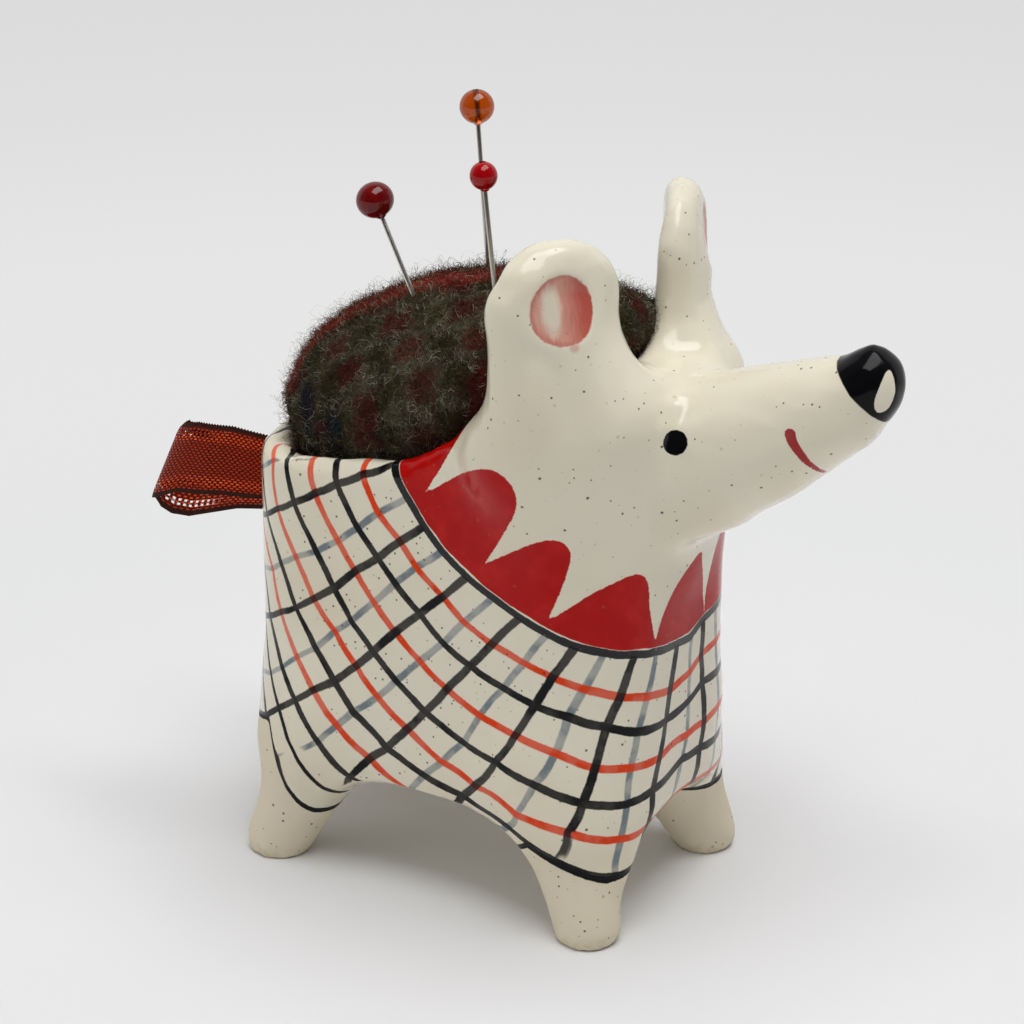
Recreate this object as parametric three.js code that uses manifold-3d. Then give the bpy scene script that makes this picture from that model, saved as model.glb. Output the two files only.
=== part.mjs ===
// A ceramic animal pincushion. One fired stoneware body stands on four legs and carries a head with
// two ears. A stuffed wool cushion is glued into the well in its back, a folded ribbon is glued into
// a slot in the rump for a tail, and three glass-headed pins stand in the wool.
// Millimetres, +Z up, +X towards the nose, +Y towards the animal's left.

import * as THREE from "three";
import { mergeVertices } from "three/addons/utils/BufferGeometryUtils.js";
import Module from "manifold-3d";

const { clamp, degToRad, lerp } = THREE.MathUtils;

// Trunk: an upright rounded box, open at the top, whose rim sweeps up towards the head.
const TRUNK_X = -0.5;
const TRUNK_LENGTH = 60;
const TRUNK_WIDTH = 37;
const TRUNK_CORNER = 12;
const TRUNK_EDGE = 2.5;
const BELLY_HEIGHT = 14.8;
const RIM_HEIGHT = 59;
const RIM_RISE = 15;
const RIM_SWELL = 3.4;
const RIM_SWELL_START = 0.4;
const RIM_SWELL_RUN = 0.5;
const WALL = 5;
const WELL_FRONT_WALL = 11;
const WELL_FLOOR_HEIGHT = 24;
const WELL_EDGE = 6;
const LIP_ROUND = 4.5;

// Legs: tapered stubs, ground flat where they stand.
const FOOT_RADIUS = 4.5;
const FOOT_ROUND_HEIGHT = 1.8;
const FRONT_FOOT_X = 24.3;
const REAR_FOOT_X = -25;
const FOOT_Y = 16;
const HIP_RADIUS = 7.5;
const HIP_HEIGHT = 22;
const HIP_INSET = 5.5;
const HIP_SIDE_INSET = 0.5;
const LEG_BLEND = 9;

// Head: a tapered snout that points up and forward out of the trunk.
const NECK = new THREE.Vector3(18, 0, 55.5);
const NECK_RADIUS = 14.5;
const NOSE = new THREE.Vector3(54.3, 0, 78.8);
const NOSE_RADIUS = 4.9;
const NECK_BLEND = 12;
const THROAT_BLEND = 4;
const THROAT_X = 22;
const THROAT_RUN = 8;
const THROAT_HOLLOW = new THREE.Vector3(35.3, 8, 49.9);
const THROAT_HOLLOW_RADIUS = 4;
const THROAT_ROUND = 3;
const JAW = new THREE.Vector3(41, 0, 68.4);
const JAW_RADIUS = 7.2;
const CHIN = new THREE.Vector3(50.5, 0, 74);
const CHIN_RADIUS = 5.4;
const CHIN_BLEND = 5;

// Ears: round paddles that stand on the front corners of the rim and face outwards. Each is propped
// by a heel behind it and a toe in front of it.
const EAR_RADIUS = 9.8;
const EAR_THICKNESS = 6.8;
const EAR_X = 18.4;
const EAR_Y = 15.4;
const EAR_HEIGHT = 85.8;
const EAR_ROOT_HEIGHT = 68;
const EAR_ROOT_RADIUS = 7.5;
const EAR_ROOT_INSET = 2;
const EAR_SPLAY = degToRad(26);
const EAR_BLEND = 11;
const EAR_HEEL_BACK = 4.9;
const EAR_HEEL_OUT = 1.6;
const EAR_HEEL_DROP = 17.8;
const EAR_HEEL_RADIUS = 4;
const EAR_HEEL_TOP_BACK = 1.7;
const EAR_HEEL_TOP_OUT = 2.6;
const EAR_HEEL_TOP_DROP = 9.8;
const EAR_HEEL_TOP_RADIUS = 3.5;
const EAR_TOE_FORWARD = 6.15;
const EAR_TOE_INSET = 1.9;
const EAR_TOE_DROP = 13.8;
const EAR_TOE_RADIUS = 4;
const EAR_TOE_TOP_FORWARD = 1.65;
const EAR_TOE_TOP_DROP = 1.8;
const EAR_TOE_TOP_RADIUS = 2.6;
const EAR_PROP_BLEND = 7;

// Cushion: a stuffed ball of fulled wool, pushed into the well and gathered shut underneath.
const CUSHION_X = -1.5;
const CUSHION_LENGTH = 63;
const CUSHION_WIDTH = 34.5;
const CUSHION_ROUNDNESS = 2.2;
const CUSHION_TILT = degToRad(10);
const CUSHION_WAIST_HEIGHT = 62;
const CUSHION_CROWN_HEIGHT = 85.2;
const CUSHION_BASE_LIFT = 1.6;
const CUSHION_TUCK = 22;
const CUSHION_OVERHANG = 3.8;
const WOOL_THICKNESS = 2.2;
const FILLING_SCALE = 0.965;
const MOUTH_RADIUS = 4;
const THREAD_RADIUS = 0.45;
const THREAD_WAVE = 0.4;
const THREAD_STITCHES = 9;
const GLUE_RING_INNER = 5;
const GLUE_RING_OUTER = 8.5;

// Ribbon: its two ends go through the slot together and are glued to the inside of the wall.
const RIBBON_WIDTH = 13.8;
const RIBBON_ROOT_WIDTH = 9.6;
const RIBBON_THICKNESS = 0.5;
const RIBBON_DROP = 6;
const RIBBON_REACH = 23;
const RIBBON_BULGE = 2.1;
const RIBBON_SLANT = degToRad(25);
const RIBBON_TAB = 4;
const RIBBON_HINGE_STANDOFF = 0.9;
const SLOT_WIDTH = 2.2;
const RIBBON_GLUE_THICKNESS = 1;

// Pins: steel shafts with bored glass beads. X and Y are where a shaft enters the wool, the lean is
// from upright towards the nose, and the standout is the bare steel between the wool and the bead.
const DARK_RED_PIN_X = -9.7;
const DARK_RED_PIN_Y = -5.4;
const DARK_RED_PIN_LEAN = degToRad(-25.8);
const DARK_RED_PIN_STANDOUT = 9.1;
const DARK_RED_PIN_LENGTH = 34;
const DARK_RED_BEAD_DIAMETER = 5;
const AMBER_PIN_X = -6;
const AMBER_PIN_Y = 8.2;
const AMBER_PIN_LEAN = degToRad(-4.4);
const AMBER_PIN_STANDOUT = 18.9;
const AMBER_PIN_LENGTH = 40;
const AMBER_BEAD_DIAMETER = 4.6;
const RED_PIN_X = 3;
const RED_PIN_Y = -4.9;
const RED_PIN_LEAN = degToRad(-6.3);
const RED_PIN_STANDOUT = 11.5;
const RED_PIN_LENGTH = 32;
const RED_BEAD_DIAMETER = 3.6;
const PIN_RADIUS = 0.32;
const PIN_POINT = 3.5;
const PIN_END_RECESS = 0.3;
const BORE_CLEARANCE = 0.12;
const CHANNEL_CLEARANCE = 0.35;

// Room between pieces that touch or bear on each other, and facet sizes of the hand-made surfaces.
const CLEARANCE = 0.3;
const WOOL_CLEARANCE = 0.9;
const CLAY_FACET = 2.6;
const WOOL_FACET = 4.4;
const EVENING_PASSES = 4;
const EVENING_SHARE = 0.6;
const DRAWING_PASSES = 3;

const WELL_LENGTH = TRUNK_LENGTH - WALL - WELL_FRONT_WALL;
const WELL_WIDTH = TRUNK_WIDTH - 2 * WALL;
const WELL_CORNER = TRUNK_CORNER - WALL;
const WELL_X = TRUNK_X + (WALL - WELL_FRONT_WALL) / 2;
const RUMP_X = TRUNK_X - TRUNK_LENGTH / 2;
const WELL_REAR_X = RUMP_X + WALL;
const CUSHION_BASE_HEIGHT = WELL_FLOOR_HEIGHT + CUSHION_BASE_LIFT;
const RIBBON_TOP_HEIGHT = RIM_HEIGHT - RIBBON_DROP;
const RIBBON_ROOT_HEIGHT = RIBBON_TOP_HEIGHT - RIBBON_ROOT_WIDTH / 2;
const RIBBON_TAB_X = WELL_REAR_X + CLEARANCE;
const RIBBON_GLUE_X = RIBBON_TAB_X + RIBBON_THICKNESS + CLEARANCE;
const RIBBON_HINGE_X = RUMP_X - RIBBON_HINGE_STANDOFF;

const PINS = [
  {
    name: "dark_red_pin",
    color: 0x78101a,
    x: DARK_RED_PIN_X,
    y: DARK_RED_PIN_Y,
    lean: DARK_RED_PIN_LEAN,
    standout: DARK_RED_PIN_STANDOUT,
    length: DARK_RED_PIN_LENGTH,
    bead: DARK_RED_BEAD_DIAMETER,
  },
  {
    name: "amber_pin",
    color: 0xc8641a,
    x: AMBER_PIN_X,
    y: AMBER_PIN_Y,
    lean: AMBER_PIN_LEAN,
    standout: AMBER_PIN_STANDOUT,
    length: AMBER_PIN_LENGTH,
    bead: AMBER_BEAD_DIAMETER,
  },
  {
    name: "red_pin",
    color: 0xb4141e,
    x: RED_PIN_X,
    y: RED_PIN_Y,
    lean: RED_PIN_LEAN,
    standout: RED_PIN_STANDOUT,
    length: RED_PIN_LENGTH,
    bead: RED_BEAD_DIAMETER,
  },
];

const wasm = await Module();
wasm.setup();

// Smooth union of two distances, with a fillet of about this radius.
function blend(a, b, radius) {
  const overlap = Math.max(radius - Math.abs(a - b), 0) / radius;
  return Math.min(a, b) - (overlap * overlap * radius) / 4;
}

// Smooth cut of one distance out of another, with a rounded edge.
function carve(form, cut, radius) {
  return -blend(-form, cut, radius);
}

// A ball swept from a to b while its radius runs from ra to rb.
function limb(p, a, ra, b, rb) {
  const along = b.clone().sub(a);
  const share = clamp(p.clone().sub(a).dot(along) / along.lengthSq(), 0, 1);
  return p.distanceTo(a.clone().addScaledVector(along, share)) - lerp(ra, rb, share);
}

// An upright column with a rounded rectangular plan about x = middle, and rounded edges.
function column(p, middle, length, width, corner, rise, edge) {
  const qx = Math.abs(p.x - middle) - length / 2 + corner;
  const qy = Math.abs(p.y) - width / 2 + corner;
  const outside = Math.hypot(Math.max(qx, 0), Math.max(qy, 0));
  const side = outside + Math.min(Math.max(qx, qy), 0) - corner + edge;
  const cap = rise + edge;
  return Math.hypot(Math.max(side, 0), Math.max(cap, 0)) + Math.min(Math.max(side, cap), 0) - edge;
}

function trunk(p) {
  const forward = clamp((p.x - RUMP_X) / TRUNK_LENGTH, 0, 1);
  const swell = Math.sin(Math.PI * clamp((forward - RIM_SWELL_START) / RIM_SWELL_RUN, 0, 1)) ** 2;
  const rim = RIM_HEIGHT + RIM_RISE * forward * forward + RIM_SWELL * swell;
  const rise = Math.max(BELLY_HEIGHT - p.z, p.z - rim);
  return column(p, TRUNK_X, TRUNK_LENGTH, TRUNK_WIDTH, TRUNK_CORNER, rise, TRUNK_EDGE);
}

function well(p) {
  return column(p, WELL_X, WELL_LENGTH, WELL_WIDTH, WELL_CORNER, WELL_FLOOR_HEIGHT - p.z, WELL_EDGE);
}

function leg(p, footX, side) {
  const foot = new THREE.Vector3(footX, side * FOOT_Y, FOOT_ROUND_HEIGHT);
  const reach = TRUNK_LENGTH / 2 - HIP_RADIUS - HIP_INSET;
  const hip = new THREE.Vector3(
    TRUNK_X + Math.sign(footX) * reach,
    side * (TRUNK_WIDTH / 2 - HIP_RADIUS - HIP_SIDE_INSET),
    HIP_HEIGHT,
  );
  return limb(p, foot, FOOT_RADIUS, hip, HIP_RADIUS);
}

function ear(p, side) {
  const facing = new THREE.Vector3(Math.cos(EAR_SPLAY), side * Math.sin(EAR_SPLAY), 0);
  const across = new THREE.Vector3(0, 0, 1).cross(facing);
  const height = clamp(p.z, EAR_ROOT_HEIGHT, EAR_HEIGHT);
  const share = (height - EAR_ROOT_HEIGHT) / (EAR_HEIGHT - EAR_ROOT_HEIGHT);
  const middle = new THREE.Vector3(EAR_X, side * lerp(EAR_Y - EAR_ROOT_INSET, EAR_Y, share), height);
  const q = p.clone().sub(middle);
  const radius = lerp(EAR_ROOT_RADIUS, EAR_RADIUS, share);
  const flat = Math.hypot(q.dot(across), q.z) - radius + EAR_THICKNESS / 2;
  return Math.hypot(Math.max(flat, 0), q.dot(facing)) - EAR_THICKNESS / 2;
}

// The heel behind an ear and the toe in front of it, which run down into the rim and the cheek.
function earProps(p, side) {
  const heel = limb(
    p,
    new THREE.Vector3(
      EAR_X - EAR_HEEL_BACK,
      side * (EAR_Y + EAR_HEEL_OUT),
      EAR_HEIGHT - EAR_HEEL_DROP,
    ),
    EAR_HEEL_RADIUS,
    new THREE.Vector3(
      EAR_X - EAR_HEEL_TOP_BACK,
      side * (EAR_Y + EAR_HEEL_TOP_OUT),
      EAR_HEIGHT - EAR_HEEL_TOP_DROP,
    ),
    EAR_HEEL_TOP_RADIUS,
  );
  const toe = limb(
    p,
    new THREE.Vector3(
      EAR_X + EAR_TOE_FORWARD,
      side * (EAR_Y - EAR_TOE_INSET),
      EAR_HEIGHT - EAR_TOE_DROP,
    ),
    EAR_TOE_RADIUS,
    new THREE.Vector3(EAR_X + EAR_TOE_TOP_FORWARD, side * EAR_Y, EAR_HEIGHT - EAR_TOE_TOP_DROP),
    EAR_TOE_TOP_RADIUS,
  );
  return Math.min(heel, toe);
}

// The neck runs softly into the trunk at the sides and turns more sharply under the jaw.
function clay(p) {
  let form = trunk(p);
  for (const side of [-1, 1]) {
    form = blend(form, leg(p, FRONT_FOOT_X, side), LEG_BLEND);
    form = blend(form, leg(p, REAR_FOOT_X, side), LEG_BLEND);
  }
  const underJaw = clamp((p.x - THROAT_X) / THROAT_RUN, 0, 1);
  const head = blend(
    limb(p, NECK, NECK_RADIUS, NOSE, NOSE_RADIUS),
    limb(p, JAW, JAW_RADIUS, CHIN, CHIN_RADIUS),
    CHIN_BLEND,
  );
  form = blend(form, head, lerp(NECK_BLEND, THROAT_BLEND, underJaw));
  const { x, y, z } = THROAT_HOLLOW;
  const left = new THREE.Vector3(x, y, z);
  const right = new THREE.Vector3(x, -y, z);
  const hollow = limb(p, left, THROAT_HOLLOW_RADIUS, right, THROAT_HOLLOW_RADIUS);
  form = carve(form, hollow, THROAT_ROUND);
  for (const side of [-1, 1]) {
    form = blend(form, ear(p, side), EAR_BLEND);
    form = blend(form, earProps(p, side), EAR_PROP_BLEND);
  }
  return carve(form, well(p), LIP_ROUND);
}

// The stuffed ball, tilted up towards the head and flat underneath. It bulges a little past the well
// and takes the room that the clay leaves it, less an inset all over.
function wool(p, inset) {
  const long = Math.abs(p.x - CUSHION_X) / (CUSHION_LENGTH / 2 - inset);
  const wide = Math.abs(p.y) / (CUSHION_WIDTH / 2 - inset);
  const plan = (long ** CUSHION_ROUNDNESS + wide ** CUSHION_ROUNDNESS) ** (1 / CUSHION_ROUNDNESS);
  const up = p.z - CUSHION_WAIST_HEIGHT - (p.x - CUSHION_X) * Math.tan(CUSHION_TILT);
  const crown = CUSHION_CROWN_HEIGHT - CUSHION_WAIST_HEIGHT;
  const keel = CUSHION_WAIST_HEIGHT - CUSHION_BASE_HEIGHT + CUSHION_TUCK;
  const tall = (up > 0 ? crown : keel) - inset;
  const ball = (Math.hypot(plan, up / tall) - 1) * (CUSHION_WIDTH / 2 - inset);
  const length = WELL_LENGTH + 2 * CUSHION_OVERHANG;
  const width = WELL_WIDTH + 2 * CUSHION_OVERHANG;
  const corner = WELL_CORNER + CUSHION_OVERHANG;
  const side = column(p, WELL_X, length, width, corner, CUSHION_BASE_HEIGHT - p.z, 0);
  return Math.max(ball, side + inset, WOOL_CLEARANCE + inset - clay(p));
}

// Moves a point along the form's slope until it lies on the surface.
function drawOnto(form, point, reach) {
  const p = point.clone();
  const step = reach / 100;
  for (let pass = 0; pass < DRAWING_PASSES; pass++) {
    const here = form(p);
    const slope = new THREE.Vector3(
      form(new THREE.Vector3(p.x + step, p.y, p.z)) - here,
      form(new THREE.Vector3(p.x, p.y + step, p.z)) - here,
      form(new THREE.Vector3(p.x, p.y, p.z + step)) - here,
    ).divideScalar(step);
    const move = slope.multiplyScalar(-here / Math.max(slope.lengthSq(), 0.1));
    p.add(move.clampLength(0, reach / 4));
  }
  return p;
}

// Skins a form: a vertex in every grid cell that the surface crosses, a quad round every grid edge
// that it crosses, and then each vertex is evened out among its neighbours and drawn onto the form.
function skin(form, box, facet) {
  const steps = box.getSize(new THREE.Vector3()).divideScalar(facet).ceil().addScalar(1);
  const total = steps.x * steps.y * steps.z;
  const number = (i, j, k) => i + steps.x * (j + steps.y * k);
  const half = steps.clone().subScalar(1).multiplyScalar(facet / 2);
  const start = box.getCenter(new THREE.Vector3()).sub(half);
  const at = (i, j, k) => new THREE.Vector3(i, j, k).multiplyScalar(facet).add(start);
  const layer = steps.x * steps.y;
  const cellOf = (n) => [n % steps.x, Math.floor(n / steps.x) % steps.y, Math.floor(n / layer)];
  const values = new Float64Array(total);
  for (let n = 0; n < total; n++) {
    values[n] = form(at(...cellOf(n)));
  }

  const eight = [0, 1, 2, 3, 4, 5, 6, 7];
  const corners = eight.map((c) => [c & 1, (c >> 1) & 1, (c >> 2) & 1]);
  const edges = [1, 2, 4].flatMap((bit) => eight.filter((c) => !(c & bit)).map((c) => [c, c | bit]));
  const vertexOf = new Map();
  let points = [];
  for (let n = 0; n < total; n++) {
    const [i, j, k] = cellOf(n);
    if (i + 1 === steps.x || j + 1 === steps.y || k + 1 === steps.z) continue;
    const value = corners.map(([a, b, c]) => values[number(i + a, j + b, k + c)]);
    const crossed = edges.filter(([a, b]) => value[a] < 0 !== value[b] < 0);
    if (crossed.length === 0) continue;
    const mean = new THREE.Vector3();
    for (const [a, b] of crossed) {
      const share = value[a] / (value[a] - value[b]);
      mean.add(new THREE.Vector3(...corners[a]).lerp(new THREE.Vector3(...corners[b]), share));
    }
    mean.divideScalar(crossed.length);
    vertexOf.set(n, points.length);
    points.push(at(i + mean.x, j + mean.y, k + mean.z));
  }

  const quads = [];
  for (let n = 0; n < total; n++) {
    const [i, j, k] = cellOf(n);
    if (i * j * k === 0 || i + 1 === steps.x || j + 1 === steps.y || k + 1 === steps.z) continue;
    const inside = values[n] < 0;
    const strides = [number(1, 0, 0), number(0, 1, 0), number(0, 0, 1)];
    for (let axis = 0; axis < 3; axis++) {
      if (inside === values[n + strides[axis]] < 0) continue;
      const u = strides[(axis + 1) % 3];
      const v = strides[(axis + 2) % 3];
      const ring = [n - u - v, n - v, n, n - u].map((cell) => vertexOf.get(cell));
      quads.push(inside ? ring : ring.reverse());
    }
  }

  const neighbours = points.map(() => new Set());
  for (const ring of quads) {
    for (let c = 0; c < 4; c++) {
      neighbours[ring[c]].add(ring[(c + 1) % 4]);
      neighbours[ring[c]].add(ring[(c + 3) % 4]);
    }
  }
  for (let pass = 0; pass < EVENING_PASSES; pass++) {
    points = points.map((point, n) => {
      const mean = new THREE.Vector3();
      for (const m of neighbours[n]) {
        mean.add(points[m]);
      }
      mean.divideScalar(neighbours[n].size);
      return drawOnto(form, point.clone().lerp(mean, EVENING_SHARE), facet);
    });
  }
  const geometry = new THREE.BufferGeometry().setFromPoints(points);
  geometry.setIndex(quads.flatMap(([a, b, c, d]) => [a, b, c, a, c, d]));
  return geometry;
}

function solidFrom(geometry) {
  const bare = geometry.clone();
  bare.deleteAttribute("normal");
  bare.deleteAttribute("uv");
  const merged = mergeVertices(bare);
  return new wasm.Manifold(
    new wasm.Mesh({
      numProp: 3,
      vertProperties: merged.attributes.position.array,
      triVerts: new Uint32Array(merged.index.array),
    }),
  );
}

function geometryFrom(solid) {
  const mesh = solid.getMesh();
  const geometry = new THREE.BufferGeometry();
  geometry.setAttribute("position", new THREE.BufferAttribute(mesh.vertProperties, 3));
  geometry.setIndex(new THREE.BufferAttribute(mesh.triVerts, 1));
  geometry.computeVertexNormals();
  return geometry;
}

// A plain block between two corners, to cut with.
function block(low, high) {
  const size = high.clone().sub(low);
  const middle = low.clone().add(high).divideScalar(2);
  return solidFrom(new THREE.BoxGeometry(size.x, size.y, size.z).translate(middle.x, middle.y, middle.z));
}

function clayBox() {
  const reach = Math.max(EAR_Y + EAR_RADIUS, TRUNK_WIDTH / 2, FOOT_Y + FOOT_RADIUS);
  const box = new THREE.Box3(
    new THREE.Vector3(Math.min(RUMP_X, REAR_FOOT_X - FOOT_RADIUS), -reach, -FOOT_RADIUS),
    new THREE.Vector3(NOSE.x + NOSE_RADIUS, reach, EAR_HEIGHT + EAR_RADIUS),
  );
  return box.expandByScalar(3 * CLAY_FACET);
}

function ceramicBody() {
  const box = clayBox();
  const ground = block(box.min, new THREE.Vector3(box.max.x, box.max.y, 0));
  const slotHalf = RIBBON_ROOT_WIDTH / 2 + CLEARANCE;
  const slot = block(
    new THREE.Vector3(RUMP_X - WALL, -SLOT_WIDTH / 2, RIBBON_ROOT_HEIGHT - slotHalf),
    new THREE.Vector3(WELL_REAR_X + WALL, SLOT_WIDTH / 2, RIBBON_ROOT_HEIGHT + slotHalf),
  );
  return solidFrom(skin(clay, box, CLAY_FACET)).subtract(ground).subtract(slot);
}

function woolSkin(inset) {
  const half = new THREE.Vector3(CUSHION_LENGTH / 2, CUSHION_WIDTH / 2, 0);
  const top = CUSHION_CROWN_HEIGHT + half.x * Math.tan(CUSHION_TILT);
  const box = new THREE.Box3(
    new THREE.Vector3(CUSHION_X - half.x, -half.y, CUSHION_BASE_HEIGHT),
    new THREE.Vector3(CUSHION_X + half.x, half.y, top),
  );
  return skin((p) => wool(p, inset), box.expandByScalar(3 * WOOL_FACET), WOOL_FACET);
}

// Height of the wool's upper surface above a point of the plan.
function crownAt(x, y) {
  let low = CUSHION_WAIST_HEIGHT;
  let high = CUSHION_CROWN_HEIGHT + (CUSHION_LENGTH / 2) * Math.tan(CUSHION_TILT);
  for (let pass = 0; pass < 40; pass++) {
    const middle = (low + high) / 2;
    if (wool(new THREE.Vector3(x, y, middle), 0) < 0) low = middle;
    else high = middle;
  }
  return low;
}

// A pin stands on the surface of the wool, with its own +Z along the shaft towards the bead.
function pinMatrix(pin) {
  const turn = new THREE.Matrix4().makeRotationY(pin.lean);
  return turn.setPosition(pin.x, pin.y, crownAt(pin.x, pin.y));
}

function pinShaft(pin) {
  const end = pin.standout + pin.bead - PIN_END_RECESS;
  const tip = end - pin.length;
  const profile = [
    new THREE.Vector2(0, tip),
    new THREE.Vector2(PIN_RADIUS, tip + PIN_POINT),
    new THREE.Vector2(PIN_RADIUS, end),
    new THREE.Vector2(0, end),
  ];
  return new THREE.LatheGeometry(profile, 10);
}

function pinBead(pin) {
  const radius = pin.bead / 2;
  const bore = PIN_RADIUS + BORE_CLEARANCE;
  const start = Math.asin(bore / radius);
  const profile = [];
  for (let n = 0; n <= 9; n++) {
    const angle = lerp(start, Math.PI - start, n / 9);
    const height = pin.standout + radius - radius * Math.cos(angle);
    profile.push(new THREE.Vector2(radius * Math.sin(angle), height));
  }
  profile.push(profile[0].clone());
  return new THREE.LatheGeometry(profile, 14);
}

// The clear way that a pin has pushed through the wool, deep enough for the whole shaft.
function pinChannel(pin) {
  const above = pin.standout / 2;
  const length = above + pin.length - pin.bead + PIN_POINT;
  const radius = PIN_RADIUS + CHANNEL_CLEARANCE;
  const rod = new THREE.CylinderGeometry(radius, radius, length, 8);
  rod.rotateX(Math.PI / 2).translate(0, 0, above - length / 2);
  return solidFrom(rod.applyMatrix4(pinMatrix(pin)));
}

function mouth() {
  const length = 3 * WOOL_THICKNESS;
  const rod = new THREE.CylinderGeometry(MOUTH_RADIUS, MOUTH_RADIUS, length, 20);
  return solidFrom(rod.rotateX(Math.PI / 2).translate(CUSHION_X, 0, CUSHION_BASE_HEIGHT));
}

// Where the glued end of the ribbon presses into the back of the cover.
function ribbonDent() {
  const half = RIBBON_ROOT_WIDTH / 2 + CLEARANCE;
  return block(
    new THREE.Vector3(WELL_REAR_X, -RIBBON_TAB - CLEARANCE, RIBBON_ROOT_HEIGHT - half),
    new THREE.Vector3(
      RIBBON_GLUE_X + RIBBON_GLUE_THICKNESS + CLEARANCE,
      RIBBON_TAB + CLEARANCE,
      RIBBON_ROOT_HEIGHT + half,
    ),
  );
}

function cushionCover(channels) {
  const ball = solidFrom(woolSkin(0));
  const hollow = solidFrom(woolSkin(WOOL_THICKNESS));
  let cover = ball.subtract(hollow).subtract(mouth()).subtract(ribbonDent());
  for (const channel of channels) {
    cover = cover.subtract(channel);
  }
  return cover;
}

// The filling is the hollow of the cover, drawn in a little about its middle.
function cushionFilling(channels) {
  const middle = new THREE.Vector3(WELL_X, 0, CUSHION_WAIST_HEIGHT);
  const shape = woolSkin(WOOL_THICKNESS).translate(-middle.x, -middle.y, -middle.z);
  shape.scale(FILLING_SCALE, FILLING_SCALE, FILLING_SCALE).translate(middle.x, middle.y, middle.z);
  let filling = solidFrom(shape);
  for (const channel of channels) {
    filling = filling.subtract(channel);
  }
  return filling;
}

// The gathering thread lies in the mouth as a drawn-up running stitch.
function gatheringThread() {
  const ring = new THREE.TorusGeometry(MOUTH_RADIUS - THREAD_RADIUS - CLEARANCE, THREAD_RADIUS, 5, 45);
  const place = ring.attributes.position;
  const middle = CUSHION_BASE_HEIGHT + WOOL_THICKNESS / 2;
  for (let n = 0; n < place.count; n++) {
    const wave = THREAD_WAVE * Math.sin(THREAD_STITCHES * Math.atan2(place.getY(n), place.getX(n)));
    place.setXYZ(n, CUSHION_X + place.getX(n), place.getY(n), middle + place.getZ(n) + wave);
  }
  return ring;
}

// A ring of glue between the floor of the well and the cushion.
function cushionGlue() {
  const low = WELL_FLOOR_HEIGHT + CLEARANCE;
  const high = CUSHION_BASE_HEIGHT - CLEARANCE;
  const profile = [
    new THREE.Vector2(GLUE_RING_INNER, low),
    new THREE.Vector2(GLUE_RING_OUTER, low),
    new THREE.Vector2(GLUE_RING_OUTER, high),
    new THREE.Vector2(GLUE_RING_INNER, high),
    new THREE.Vector2(GLUE_RING_INNER, low),
  ];
  return new THREE.LatheGeometry(profile, 28).rotateX(Math.PI / 2).translate(CUSHION_X, 0, 0);
}

// The glued end of the ribbon: both layers through the slot, then a tab each way along the wall.
function ribbonRoot() {
  const layer = RIBBON_THICKNESS;
  const plan = new THREE.Shape([
    new THREE.Vector2(RUMP_X, -layer),
    new THREE.Vector2(RIBBON_TAB_X, -layer),
    new THREE.Vector2(RIBBON_TAB_X, -RIBBON_TAB),
    new THREE.Vector2(RIBBON_TAB_X + layer, -RIBBON_TAB),
    new THREE.Vector2(RIBBON_TAB_X + layer, RIBBON_TAB),
    new THREE.Vector2(RIBBON_TAB_X, RIBBON_TAB),
    new THREE.Vector2(RIBBON_TAB_X, layer),
    new THREE.Vector2(RUMP_X, layer),
  ]);
  const root = new THREE.ExtrudeGeometry(plan, { depth: RIBBON_ROOT_WIDTH, bevelEnabled: false });
  return root.translate(0, 0, RIBBON_ROOT_HEIGHT - RIBBON_ROOT_WIDTH / 2);
}

function ribbonGlue() {
  const pad = new THREE.BoxGeometry(RIBBON_GLUE_THICKNESS, 2 * RIBBON_TAB, RIBBON_ROOT_WIDTH);
  return pad.translate(RIBBON_GLUE_X + RIBBON_GLUE_THICKNESS / 2, 0, RIBBON_ROOT_HEIGHT);
}

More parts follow.
